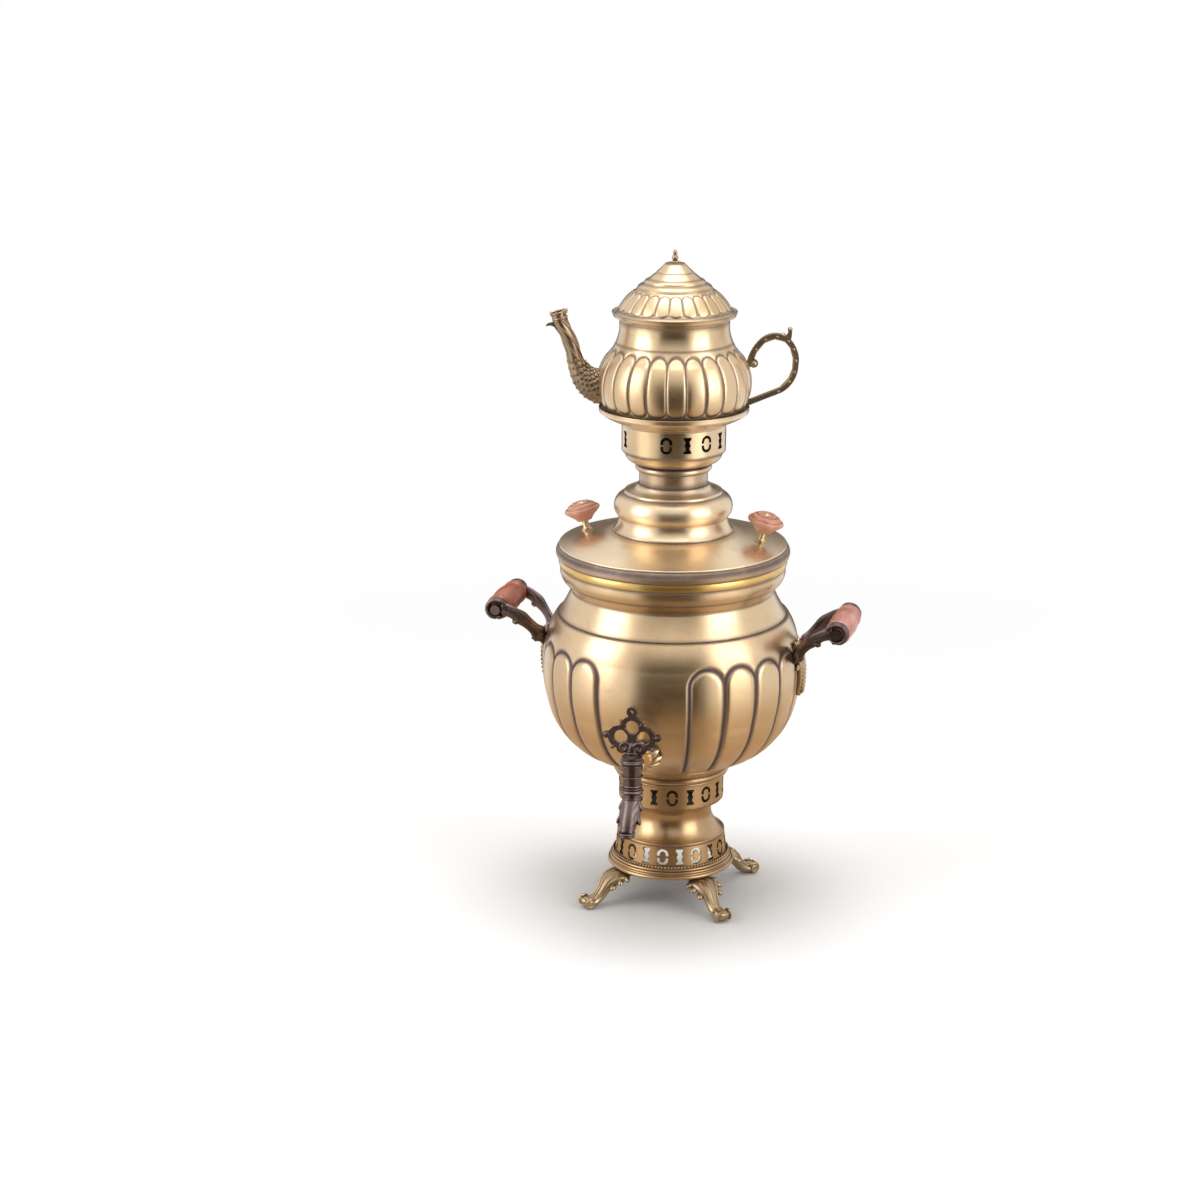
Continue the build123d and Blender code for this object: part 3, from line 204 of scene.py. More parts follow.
antiqueTones = dict(
    light=(0.71, 0.51, 0.285),
    warm=(0.6, 0.4, 0.195),
    dull=(0.42, 0.28, 0.165),
    dark=(0.09, 0.052, 0.052),
    inner=(0.42, 0.4, 0.37),
    innerFrom=-0.1,
    innerShare=0.7,
    stain=0.3,
    hollow=0.005,
    patina=0.95,
    rough=(0.27, 0.34),
    brushed=0.07,
    cast=0.05,
    lacquer=0.85,
    wear=0.85,
    spun=0.75,
)
castTones = dict(
    light=(0.23, 0.175, 0.12),
    warm=(0.16, 0.115, 0.085),
    dull=(0.36, 0.27, 0.165),
    dark=(0.035, 0.027, 0.028),
    inner=(0.03, 0.025, 0.022),
    innerFrom=-0.1,
    innerShare=0.0,
    stain=0.55,
    hollow=0.004,
    patina=1.0,
    rough=(0.3, 0.44),
    brushed=0.0,
    cast=0.9,
    lacquer=0.25,
    wear=0.0,
    spun=0.0,
)
ornamentTones = dict(
    castTones,
    light=(0.5, 0.375, 0.21),
    warm=(0.35, 0.245, 0.14),
    dark=(0.075, 0.052, 0.042),
    patina=0.8,
    cast=0.5,
)
handleTones = dict(
    castTones,
    light=(0.15, 0.105, 0.092),
    warm=(0.1, 0.068, 0.062),
    dull=(0.22, 0.16, 0.13),
    dark=(0.03, 0.02, 0.022),
    cast=0.7,
)
brightTones = dict(
    antiqueTones,
    light=(0.8, 0.56, 0.2),
    warm=(0.7, 0.44, 0.13),
    stain=0.1,
    patina=0.7,
    rough=(0.3, 0.36),
    lacquer=0.3,
)
domeTones = dict(
    antiqueTones,
    light=(0.84, 0.64, 0.41),
    warm=(0.74, 0.54, 0.32),
)
# A paler copy of the antique brass: a painted highlight on the lid's plate, for the bright sky it mirrors.
highlightPlateTones = dict(
    antiqueTones,
    light=(0.9, 0.72, 0.47),
    warm=(0.82, 0.63, 0.38),
    spun=0.0,
    rough=(0.27, 0.32),
    brushed=0.025,
)
plainTones = dict(
    antiqueTones,
    light=(0.8, 0.6, 0.3),
    warm=(0.66, 0.45, 0.19),
    patina=0.8,
)
# A darker copy of the antique brass for the stand: painted shade, standing in for the dark reflections on the
# waist and galleries. Its inside is sooty.
shadedSootyStandTones = dict(
    antiqueTones,
    light=(0.52, 0.335, 0.155),
    warm=(0.42, 0.26, 0.11),
    inner=(0.028, 0.022, 0.018),
    innerFrom=0.25,
    innerShare=1.0,
    lacquer=0.6,
)
# The crown takes the stand's sooty inside but its own lighter colour, with no painted shade.
crownTones = dict(
    shadedSootyStandTones,
    light=(0.72, 0.52, 0.3),
    warm=(0.6, 0.42, 0.22),
    lacquer=0.85,
)
rimTones = dict(
    antiqueTones,
    light=(0.62, 0.47, 0.34),
    dark=(0.095, 0.062, 0.066),
    rough=(0.34, 0.42),
    lacquer=0.45,
)
# A darker copy of the ornament brass: painted shade on the teapot's spout, which faces the left lamp; the
# finial shares it.
shadedSpoutTones = dict(
    ornamentTones,
    light=(0.42, 0.3, 0.18),
    warm=(0.29, 0.2, 0.125),
    patina=1.0,
)
sootTones = dict(
    castTones,
    light=(0.075, 0.068, 0.064),
    warm=(0.05, 0.044, 0.042),
    dull=(0.12, 0.1, 0.085),
    dark=(0.015, 0.014, 0.014),
    rough=(0.55, 0.7),
    lacquer=0.0,
)


# Wood

woodMarks = dict(
    figure=(120.0, 5.0, 0.55), pores=(900.0, 3.0, 0.6), blush=(40.0, 2.0, 0.5), stretch=(1.0, 1.0, 0.14),
    groove=0.003, coat=0.3, coatRoughness=0.22, poreDepth=0.0003, poreStrength=0.4,
)


def turnedWood(name, look):
    marks = woodMarks
    material, tree, shader, place = newMaterial(name)
    # The grain runs along the piece's own axis.
    local = place
    steps = {"Location": [-c for c in look["centre"]], "Rotation": look["tilt"], "Scale": marks["stretch"]}
    for key, value in steps.items():
        local = addNode(tree, "ShaderNodeMapping", {"Vector": local, key: value}).outputs[0]
    figure = noiseField(tree, local, *marks["figure"])
    pores = noiseField(tree, local, *marks["pores"])
    blush = noiseField(tree, place, *marks["blush"])
    tone = mixColours(tree, remap(tree, figure, 0.35, 0.65), look["light"], look["dark"])
    tone = mixColours(tree, remap(tree, blush, 0.4, 0.7, 0.0, 0.5), tone, look["blush"])
    tone = mixColours(tree, remap(tree, pores, 0.62, 0.72, 0.0, 0.45), tone, look["pore"])
    groove = hollowShade(tree, marks["groove"])
    tone = mixColours(tree, remap(tree, groove, 0.8, 0.3, 0.0, 0.75), tone, look["pore"])
    tree.links.new(tone, shader.inputs["Base Color"])
    tree.links.new(remap(tree, figure, 0.3, 0.7, 0.38, 0.52), shader.inputs["Roughness"])
    shader.inputs["Coat Weight"].default_value = marks["coat"]
    shader.inputs["Coat Roughness"].default_value = marks["coatRoughness"]
    addBump(tree, shader, pores, marks["poreDepth"], marks["poreStrength"])
    return material


redWood = dict(
    centre=(0.0, 0.0, 0.35),
    tilt=(0.0, 0.0, 0.0),
    light=(0.56, 0.25, 0.155),
    dark=(0.4, 0.15, 0.09),
    blush=(0.6, 0.3, 0.21),
    pore=(0.2, 0.07, 0.045),
)
orangeWood = dict(
    centre=(0.0, 0.0, 0.267),
    tilt=(radians(90.0), 0.0, 0.0),
    light=(0.4, 0.1, 0.04),
    dark=(0.25, 0.055, 0.024),
    blush=(0.46, 0.15, 0.075),
    pore=(0.1, 0.03, 0.02),
)
palerWood = dict(
    orangeWood,
    light=(0.5, 0.21, 0.15),
    dark=(0.34, 0.11, 0.08),
    blush=(0.56, 0.3, 0.25),
    pore=(0.16, 0.06, 0.06),
)

antiqueBrass = metal("antique brass", antiqueTones)
shadedSootyStandBrass = metal("shaded sooty stand brass", shadedSootyStandTones)
crownBrass = metal("crown brass", crownTones)
castBrass = metal("dark cast brass", castTones)
ornamentBrass = metal("ornament brass", ornamentTones)
handleBrass = metal("handle brass", handleTones)
rimBrass = metal("lid rim brass", rimTones)
shadedSpoutBrass = metal("shaded spout brass", shadedSpoutTones)
domeBrass = metal("lid dome brass", domeTones)
highlightPlateBrass = metal("lid plate brass with painted highlight", highlightPlateTones)
brightBrass = metal("bright brass", brightTones)
plainBrass = metal("plain brass", plainTones)
sootyIron = metal("sooty iron", sootTones)
knobWood = turnedWood("knob wood", redWood)
orangeGripWood = turnedWood("orange grip wood", orangeWood)
paleGripWood = turnedWood("pale grip wood", palerWood)


# The frame's own nodes

slotMaterials = {
    "antique_brass": antiqueBrass,
    "dark_cast_brass": castBrass,
    "bright_brass": brightBrass,
    "plain_brass": plainBrass,
    "sooty_iron": sootyIron,
    "turned_wood": knobWood,
}
nodeMaterials = {
    "base_ring": shadedSootyStandBrass,
    "lower_gallery": shadedSootyStandBrass,
    "upper_gallery": shadedSootyStandBrass,
    "collar": shadedSootyStandBrass,
    "crown_gallery": crownBrass,
    "tap_body": handleBrass,
    "tap_key": handleBrass,
    "left_handle_rod": handleBrass,
    "left_handle_rivets": handleBrass,
    "left_handle_grip": orangeGripWood,
    "right_handle_rod": handleBrass,
    "right_handle_rivets": handleBrass,
    "right_handle_grip": paleGripWood,
    "teapot_handle": ornamentBrass,
    "teapot_spout": shadedSpoutBrass,
    "teapot_finial": shadedSpoutBrass,
    "teapot_finial_nut": shadedSpoutBrass,
}


def dressNodes():
    for part in frame["record"]["subparts"]:
        node = frame["nodes"][part["node"]]
        material = nodeMaterials.get(part["node"], slotMaterials[part["material_slot"]])
        node.data.materials.clear()
        node.data.materials.append(material)
    print("nodes dressed")


dressNodes()


# Turned work

# How finely arcs and straight runs are stepped, and how a sharp corner is rounded; angles in degrees.
turning = dict(
    arcStep=12.0, straightStep=3, sharpFrom=16.0, cornerShare=0.3, hold=1.5, bendLimit=0.6, merge=2e-6,
)


def circleThrough(a, via, b):
    ax, ay, bx, by = via[0] - a[0], via[1] - a[1], b[0] - a[0], b[1] - a[1]
    cross = 2 * (ax * by - ay * bx)
    u = (by * (ax * ax + ay * ay) - ay * (bx * bx + by * by)) / cross
    v = (ax * (bx * bx + by * by) - bx * (ax * ax + ay * ay)) / cross
    return a[0] + u, a[1] + v


def tracePath(path, step):
    # A path is a start and then steps: (r, z) runs straight, ((r, z), (r, z)) is an arc.
    points = [path[0]]
    for move in path[1:]:
        start = points[-1]
        if isinstance(move[0], tuple):
            via, end = move
            centre = circleThrough(start, via, end)
            first = atan2(start[1] - centre[1], start[0] - centre[0])
            bend = (via[0] - start[0]) * (end[1] - via[1]) - (via[1] - start[1]) * (end[0] - via[0])
            sweep = (atan2(end[1] - centre[1], end[0] - centre[0]) - first) % (2 * pi)
            sweep -= 2 * pi if bend < 0 else 0.0
            reach = hypot(start[0] - centre[0], start[1] - centre[1])
            count = max(ceil(abs(sweep) * reach / step), ceil(abs(sweep) / radians(turning["arcStep"])), 2)
            for i in range(1, count):
                angle = first + sweep * i / count
                points.append((centre[0] + reach * cos(angle), centre[1] + reach * sin(angle)))
        else:
            end = move
            length = hypot(end[0] - start[0], end[1] - start[1])
            count = max(ceil(length / (step * turning["straightStep"])), 1)
            for i in range(1, count):
                points.append((
                    start[0] + (end[0] - start[0]) * i / count,
                    start[1] + (end[1] - start[1]) * i / count,
                ))
        points.append(end)
    return points


def leftOf(before, after):
    length = max(hypot(after[0] - before[0], after[1] - before[1]), 1e-6)
    return (before[1] - after[1]) / length, (after[0] - before[0]) / length


def insideOf(points, wall):
    # The line moved in by the wall, and never past the axis.
    moved = []
    for i, point in enumerate(points):
        one = leftOf(points[max(i - 1, 0)], points[max(i, 1)])
        two = leftOf(points[min(i, len(points) - 2)], points[min(i + 1, len(points) - 1)])
        share = wall / max(1 + one[0] * two[0] + one[1] * two[1], turning["bendLimit"])
        moved.append((max(point[0] + share * (one[0] + two[0]), 0.0), point[1] + share * (one[1] + two[1])))
    return moved


def softCorners(points, radius):
    # Each sharp corner gets a small round, with a point either side that holds the shading.
    soft = []
    count = len(points)
    for i, here in enumerate(points):
        before, after = points[i - 1], points[(i + 1) % count]
        back = hypot(before[0] - here[0], before[1] - here[1])
        ahead = hypot(after[0] - here[0], after[1] - here[1])
        turn = atan2(after[1] - here[1], after[0] - here[0]) - atan2(here[1] - before[1], here[0] - before[0])
        turn = abs((turn + pi) % (2 * pi) - pi)
        if turn < radians(turning["sharpFrom"]) or here[0] < 1e-6:
            soft.append(here)
            continue
        cut = min(radius, turning["cornerShare"] * back, turning["cornerShare"] * ahead)
        for share in (turning["hold"] * cut, cut):
            soft.append(tuple(h + (b - h) * share / back for h, b in zip(here, before)))
        for t in (0.3, 0.7):
            soft.append(tuple(
                h + (b - h) * cut / back * (1 - t) ** 2 + (a - h) * cut / ahead * t**2
                for h, b, a in zip(here, before, after)
            ))
        for share in (cut, turning["hold"] * cut):
            soft.append(tuple(h + (a - h) * share / ahead for h, a in zip(here, after)))
    return soft


# What the turned pieces share; each piece's own dictionary changes some of it.
turnedSheet = dict(wall=1.5, corner=0.4, step=2.5, thin=1, segments=192, flutes=None, bands=[])


def sheetOutline(look):
    # The inner side keeps every thin-th point, because nothing fine is worked there.
    outer = tracePath(look["path"], look["step"])
    inner = insideOf(outer, look["wall"])[::-1]
    kept = [point for i, point in enumerate(inner) if i % look["thin"] == 0 or i == len(inner) - 1]
    return softCorners(outer + kept, look["corner"])


def linkMesh(bm, name, material):
    mesh = bpy.data.meshes.new(name)
    bm.to_mesh(mesh)
    bm.free()
    mesh.materials.append(material)
    piece = bpy.data.objects.new(name, mesh)
    bpy.context.scene.collection.objects.link(piece)
    return piece


def finishPiece(bm, name, material, body, nodes=()):
    bmesh.ops.remove_doubles(bm, verts=bm.verts, dist=turning["merge"])
    bmesh.ops.recalc_face_normals(bm, faces=bm.faces)
    for face in bm.faces:
        face.smooth = True
    piece = linkMesh(bm, name, material)
    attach(piece, body)
    if nodes:
        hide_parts(*nodes)


def finishCasting(bm, name, material, body, nodes=()):
    finishPiece(bm, name, material, body, nodes)


def spinOutline(outline, segments):
    bm = bmesh.new()
    bm.verts.layers.float.new("tarnish")
    verts = [bm.verts.new((r * mm, 0.0, z * mm)) for r, z in outline]
    edges = [bm.edges.new(pair) for pair in zip(verts, verts[1:] + verts[:1]) if pair[0] != pair[1]]
    # One sector is spun and then repeated, which is much quicker than one long spin.
    sectors = 20 if segments % 20 == 0 else 16
    bmesh.ops.spin(
        bm, geom=verts + edges, cent=(0, 0, 0), axis=(0, 0, 1), angle=2 * pi / sectors,
        steps=segments // sectors, use_merge=False, use_duplicate=False,
    )
    bmesh.ops.spin(
        bm, geom=bm.verts[:] + bm.edges[:] + bm.faces[:], cent=(0, 0, 0), axis=(0, 0, 1),
        angle=2 * pi * (sectors - 1) / sectors, steps=sectors - 1, use_merge=False, use_duplicate=True,
    )
    bmesh.ops.remove_doubles(bm, verts=bm.verts, dist=turning["merge"])
    bmesh.ops.recalc_face_normals(bm, faces=bm.faces)
    return bm


def tarnishBands(bm, bands):
    # Old polish left in the creases: (height, half width, strength) round the piece.
    layer = bm.verts.layers.float["tarnish"]
    for vert in bm.verts:
        z = vert.co.z / mm
        dirt = max(strength * exp(-((z - level) / width) ** 2) for level, width, strength in bands)
        vert[layer] = max(vert[layer], dirt)


# Chased flutes

# A lobe's line is looked for a little past its ends, on faces that look out.
chasing = dict(margin=8.0, leastFacing=0.05)


def smoothStep(value, low, high):
    t = min(max((value - low) / (high - low), 0.0), 1.0)
    return t * t * (3 - 2 * t)


def lobeDistance(flutes, azimuth, reach, z):
    # Distance in mm inside the nearest lobe's outline; below zero outside it.
    pitch, panel = flutes["pitch"], flutes["panel"]
    phi = (azimuth - flutes["panelAt"]) % 360.0
    place = (phi - panel / 2) / pitch
    if phi > 180.0 + panel / 2 and place > flutes["count"] + panel / pitch / 2:
        place -= 360.0 / pitch
    index = min(max(int(place), 0), flutes["count"] - 1)
    across = abs(place - index - 0.5) * radians(pitch) * reach
    half = radians(pitch) * reach / 2
    topRound, lowRound = flutes["topRound"], flutes["lowRound"]
    if topRound and z > flutes["top"] - topRound:
        rise = (z - flutes["top"] + topRound) / topRound
        return half * (1 - hypot(across / half, rise))
    if lowRound and z < flutes["low"] + lowRound:
        fall = (flutes["low"] + lowRound - z) / lowRound
        return half * (1 - hypot(across / half, fall))
    return half - across


def chaseFlutes(bm, flutes):
    layer = bm.verts.layers.float["tarnish"]
    bm.normal_update()
    moves = []
    for vert in bm.verts:
        x, y, z = vert.co.x / mm, vert.co.y / mm, vert.co.z / mm
        reach = hypot(x, y)
        outward = (vert.normal.x * x + vert.normal.y * y) / max(reach, 1e-6) + flutes["lean"] * vert.normal.z
        inZone = flutes["low"] - chasing["margin"] < z < flutes["top"] + chasing["margin"]
        inReach = flutes["least"] < reach < flutes["most"]
        if not (inZone and inReach) or outward < chasing["leastFacing"]:
            continue
        fade = smoothStep(z, *flutes["fade"])
        inside = lobeDistance(flutes, degrees(atan2(y, x)), reach, z)
        line = exp(-(inside / flutes["lineWidth"]) ** 2)
        swell = 1 - (1 - min(max(inside / flutes["shoulder"], 0.0), 1.0)) ** 2
        moves.append((vert, flutes["swell"] * swell * fade - flutes["groove"] * line * fade))
        darkLine = exp(-(inside / flutes["darkWidth"]) ** 2)
        vert[layer] = max(vert[layer], darkLine * fade * flutes["darkness"])
    for vert, rise in moves:
        vert.co += vert.normal * rise * mm


def turnPiece(name, look, body, node, material=antiqueBrass):
    bm = spinOutline(sheetOutline(look), look["segments"])
    if look["flutes"]:
        chaseFlutes(bm, look["flutes"])
    if look["bands"]:
        tarnishBands(bm, look["bands"])
    finishPiece(bm, name, material, body, [node])


# Urn

# Lobes round the belly, from the edge of the plain panel on; heights and widths in mm.
bellyFlutes = dict(
    count=20, pitch=15.9, panel=42.0, panelAt=270.0, lean=0.0, least=50.0, most=120.0,
    top=246.0, low=128.0, topRound=15.0, lowRound=0.0, fade=(134.0, 146.0),
    swell=1.2, shoulder=7.0, groove=1.3, lineWidth=1.7, darkWidth=2.2, darkness=1.3,
)
urnLook = dict(
    turnedSheet, wall=2.0, step=1.5, thin=4, segments=560, flutes=bellyFlutes,
    path=[
        (51.5, 133.0),
        (56.0, 133.0),
        ((93.4, 154.0), (111.4, 190.0)),
        ((115.4, 219.0), (112.4, 245.0)),
        ((109.4, 257.0), (104.0, 267.2)),
        (102.0, 267.9),
    ],
    bands=[(267.6, 1.0, 0.85), (133.4, 1.6, 0.9)],
)
coveLook = dict(
    turnedSheet, wall=2.0, step=2.0,
    path=[
        (100.8, 268.0),
        (101.8, 268.0),
        ((97.0, 276.0), (90.7, 289.0)),
        (90.7, 291.0),
        ((93.4, 294.2), (95.9, 298.6)),
        (97.5, 299.2),
        ((99.3, 302.4), (100.5, 306.0)),
        (100.5, 313.0),
    ],
    bands=[(268.4, 1.1, 0.85), (290.2, 1.3, 0.6), (298.9, 1.0, 1.0), (312.4, 1.2, 0.9)],
)
mouthLook = dict(
    turnedSheet, wall=1.2, corner=0.3,
    path=[(98.5, 313.0), (101.1, 313.0), ((101.9, 316.5), (101.1, 320.0)), (98.5, 320.0)],
)
turnPiece("fluted_urn", urnLook, "urn", "urn_shell")
turnPiece("urn_cove", coveLook, "urn", "urn_neck")
turnPiece("mouth_band", mouthLook, "urn", "mouth_ring", brightBrass)
print("urn turned and fluted")


# Lid

bandLook = dict(
    turnedSheet,
    path=[(97.3, 320.0), (102.6, 320.0), ((104.2, 325.0), (101.8, 330.0)), (98.5, 330.0)],
    bands=[(327.4, 3.6, 1.0), (320.4, 0.9, 1.0), (330.6, 1.4, 1.0)],
)
slopeLook = dict(
    turnedSheet, corner=0.5,
    path=[(101.3, 330.0), (101.3, 331.8), (54.5, 343.5), (45.9, 343.5)],
    bands=[(330.4, 0.9, 0.8), (343.4, 0.5, 0.5)],
)
bellLook = dict(
    turnedSheet, corner=0.5,
    path=[
        (53.3, 343.5),
        (53.3, 345.3),
        ((49.3, 351.0), (48.7, 357.0)),
        ((52.3, 369.0), (46.8, 376.5)),
        (43.8, 377.7),
        ((43.3, 379.7), (40.7, 380.4)),
        ((35.4, 382.0), (31.8, 386.0)),
        (28.9, 386.0),
    ],
    bands=[(344.0, 1.4, 0.7), (357.0, 1.0, 0.3), (377.6, 1.1, 0.85), (381.2, 1.2, 0.45), (386.0, 1.4, 0.6)],
)
turnPiece("lid_band", bandLook, "lid", "lid_rim", rimBrass)
turnPiece("lid_slope", slopeLook, "lid", "lid_plate", highlightPlateBrass)
turnPiece("lid_bell", bellLook, "lid", "lid_dome", domeBrass)
print("lid turned")


# Crown

collarLook = dict(
    turnedSheet,
    path=[(30.4, 386.0), (30.4, 398.0), ((33.9, 401.2), (31.4, 404.4)), (31.4, 406.0)],
    bands=[(387.2, 2.2, 1.0), (392.5, 4.0, 0.35), (399.0, 1.6, 0.8), (405.0, 2.0, 1.0)],
)
cupLook = dict(
    turnedSheet,
    path=[(28.9, 406.0), (36.2, 406.0), ((41.4, 409.4), (43.4, 413.6)), (46.0, 416.2), (46.0, 418.0)],
    bands=[(406.4, 1.6, 0.9), (416.4, 1.3, 0.8)],
)
saucerLook = dict(
    turnedSheet, corner=0.5,
    path=[(24.0, 440.0), (46.8, 440.0), (47.4, 442.5), ((57.6, 446.0), (65.7, 451.0)), (66.2, 455.0)],
    bands=[(441.2, 1.4, 0.5), (455.0, 1.2, 0.35)],
)
turnPiece("crown_collar", collarLook, "crown", "crown_neck", crownBrass)
turnPiece("crown_cup", cupLook, "crown", "crown_bowl", crownBrass)
turnPiece("crown_saucer", saucerLook, "crown", "crown_dish", domeBrass)
print("crown turned")


# Pedestal

spoolLook = dict(
    turnedSheet, corner=0.5,
    path=[
        (49.0, 60.0),
        (49.0, 62.2),
        ((41.0, 69.0), (36.6, 79.5)),
        ((39.0, 88.6), (47.6, 94.2)),
        (47.6, 96.0),
    ],
    bands=[(60.6, 1.4, 0.8), (79.5, 2.0, 0.15), (95.0, 1.5, 0.8)],
)
turnPiece("spool", spoolLook, "urn", "waist", shadedSootyStandBrass)
print("pedestal turned")


# Teapot

potFlutes = dict(
    count=24, pitch=15.0, panel=0.0, panelAt=277.5, lean=0.0, least=40.0, most=72.0,
    top=507.5, low=456.0, topRound=7.5, lowRound=7.0, fade=(453.0, 455.0),
    swell=0.5, shoulder=4.5, groove=0.85, lineWidth=0.9, darkWidth=1.05, darkness=1.0,
)
lidFlutes = dict(
    potFlutes, lean=1.0, least=34.5, most=49.6,
    top=557.4, low=541.0, topRound=3.4, lowRound=3.0, fade=(539.0, 541.0),
    swell=0.35, shoulder=2.6, groove=0.55, lineWidth=0.7, darkWidth=0.8, darkness=0.85,
)
potLook = dict(
    turnedSheet, wall=1.4, step=1.25, thin=4, segments=576, flutes=potFlutes,
    path=[
        (0.0, 441.5),
        (40.0, 441.5),
        ((51.5, 447.1), (60.0, 453.5)),
        ((67.3, 478.5), (60.2, 499.0)),
        ((51.6, 511.5), (48.2, 523.0)),
        (48.2, 530.0),
        ((49.4, 533.8), (53.3, 535.0)),
        (54.9, 539.0),
    ],
    bands=[(512.0, 1.1, 0.85), (531.0, 1.6, 0.75), (449.0, 1.6, 0.8), (538.6, 1.0, 0.6)],
)
potLidLook = dict(
    turnedSheet, wall=1.2, corner=0.3, step=0.9, thin=4, segments=480, flutes=lidFlutes,
    path=[
        (44.9, 536.0),
        (52.2, 536.0),
        (52.2, 538.4),
        (49.4, 540.6),
        ((42.8, 550.6), (33.6, 558.4)),
        (32.6, 560.4),
        ((30.2, 562.6), (27.6, 563.2)),
        (26.6, 564.6),
        ((25.4, 566.6), (23.2, 567.0)),
        (22.4, 568.0),
        ((19.6, 570.4), (16.6, 572.6)),
        (15.8, 573.8),
        ((12.0, 577.2), (8.6, 580.7)),
        (7.4, 581.3),
        (0.0, 581.3),
    ],
    bands=[(540.2, 1.2, 0.85), (559.6, 1.0, 0.9), (563.8, 0.8, 0.8), (567.6, 0.7, 0.8), (573.2, 0.7, 0.6),
           (581.0, 0.9, 1.0)],
)
turnPiece("fluted_teapot", potLook, "teapot", "teapot_body")
turnPiece("fluted_lid", potLidLook, "teapot_lid", "teapot_lid")
print("teapot turned and fluted")


# Cast ornament

alongX = Vector((1.0, 0.0, 0.0))
alongY = Vector((0.0, 1.0, 0.0))
upward = Vector((0.0, 0.0, 1.0))


def ringEdges(ring):
    inRing = set(ring)
    return list({edge for vert in ring for edge in vert.link_edges if edge.other_vert(vert) in inRing})


def addLimb(bm, centres, sizes, flat, sides=12):
    # A cast limb: oval rings of half width and half depth along a line, bridged and closed.
    last = len(centres) - 1
    before = None
    for i, (centre, size) in enumerate(zip(centres, sizes)):
        ahead = (centres[min(i + 1, last)] - centres[max(i - 1, 0)]).normalized()
        side = flat.cross(ahead).normalized()
        deep = ahead.cross(side)
        turn = Matrix((side * size[0] * mm, deep * size[1] * mm, ahead)).transposed().to_4x4()
        place = Matrix.Translation(centre * mm) @ turn
        ring = bmesh.ops.create_circle(
            bm, cap_ends=i in (0, last), segments=sides, radius=1.0, matrix=place
        )["verts"]
        edges = ringEdges(ring)
        if before:
            bmesh.ops.bridge_loops(bm, edges=before + edges)
        before = edges


def addHoop(bm, centre, axis, radius, thick, segments=48, sides=10):
    across = axis.orthogonal().normalized()
    turn = Matrix((across * thick * mm, axis * thick * mm, across.cross(axis))).transposed().to_4x4()
    place = Matrix.Translation((centre + across * radius) * mm) @ turn
    ring = bmesh.ops.create_circle(bm, cap_ends=False, segments=sides, radius=1.0, matrix=place)["verts"]
    bmesh.ops.spin(
        bm, geom=ring + ringEdges(ring), cent=centre * mm, axis=axis, angle=2 * pi,
        steps=segments, use_merge=True, use_duplicate=False,
    )


def addBud(bm, centre, ahead, size, flat=upward, around=12, along=8):
    # An egg-shaped bud: half length, half width and half depth.
    side = flat.cross(ahead).normalized()
    deep = ahead.cross(side)
    turn = Matrix((side * size[1] * mm, deep * size[2] * mm, ahead * size[0] * mm)).transposed().to_4x4()
    bmesh.ops.create_uvsphere(
        bm, u_segments=around, v_segments=along, radius=1.0,
        matrix=Matrix.Translation(centre * mm) @ turn,
    )


def spiralLine(centre, across, rise, first, last, start, turns, steps):
    # From reach first to reach last, starting at an angle from across towards rise.
    line = []
    for i in range(steps + 1):
        share = i / steps
        reach = first + (last - first) * share
        angle = radians(start) + 2 * pi * turns * share
        line.append(centre + across * reach * cos(angle) + rise * reach * sin(angle))
    return line


def taperSizes(count, wide, deep, tips=0.35):
    # Even sizes that draw in at both ends.
    sizes = []
    for i in range(count):
        share = min(i, count - 1 - i) / max(count - 1, 1)
        fade = tips + (1 - tips) * smoothStep(share, 0.0, 0.18)
        sizes.append((wide * fade, deep * fade))
    return sizes


def addVein(bm, line, size, flat, sides):
    # A limb that draws in at both ends.
    addLimb(bm, line, taperSizes(len(line), *size), flat, sides)


def addCurl(bm, centre, across, rise, flat, curl):
    line = spiralLine(centre, across, rise, *curl["spiral"])
    addVein(bm, line, curl["size"], flat, curl["sides"])
    return line


def spokes(count, across, rise, offset=0.0):
    # Directions spread evenly round an axis.
    angles = [2 * pi * (i + offset) / count for i in range(count)]
    return [across * cos(angle) + rise * sin(angle) for angle in angles]


def sideLine(points, reach=0.0, height=0.0):
    # Points (out, up) in the plane of X and Z.
    return [Vector((reach + out, 0.0, height + up)) for out, up in points]


def pathAhead(line, i):
    return (line[i + 1] - line[i - 1]).normalized()


def turnAbout(bm, degreesRound):
    bmesh.ops.rotate(
        bm, verts=bm.verts, cent=(0, 0, 0), matrix=Matrix.Rotation(radians(degreesRound), 3, "Z")
    )


# Handles

# A curl's spiral is its first and last reach, start, turns and steps; its size is as in taperSizes.
# Swells are (share of the arm, width, rise), leaves (share, drop, length, lean) and tips (share, lift).
handleLook = dict(
    rootReach=111.4, run=39.6, rootSpread=3.5, spread=27.75, rootHeight=231.0, rise=36.0,
    thick=2.3, deep=5.2, steps=30, aimStep=0.04,
    swells=[(0.08, 0.08, 1.8), (0.4, 0.06, 2.4), (0.7, 0.08, 1.2), (1.0, 0.2, 0.8)], swellThick=0.35,
    veins=[-2.6, 0.0, 2.6], veinSize=(0.8, 0.9), veinSwell=0.3, veinWave=(0.6, 0.4, 540.0),
    leaves=[(0.16, 6.2, 5.2, 0.5), (0.44, 6.8, 5.6, 0.6), (0.76, 5.6, 4.8, 0.8)], leafSize=(2.1, 2.6),
    leafCurl=dict(spiral=(3.0, 0.7, 200.0, -1.2, 18), size=(1.5, 1.0), sides=8), leafCurlPlace=(1.3, 1.8),
    tips=[(0.3, 5.4), (0.6, 5.2)], tipSize=(4.6, 1.9, 1.9),
    gripReach=155.0, gripHeight=267.0, gripHalf=29.0, strapAcross=2.6,
    strap=dict(spiral=(9.2, 7.6, 165.0, -0.76, 34), size=(1.5, 4.2, 0.6), sides=12),
    strapBud=(4.2, 2.4, 2.4), edges=(-2.6, 2.6), edgeSize=(2.0, 0.8, 0.6),
    collarIn=3.4, collarRadius=9.2, collarThick=0.8,
)
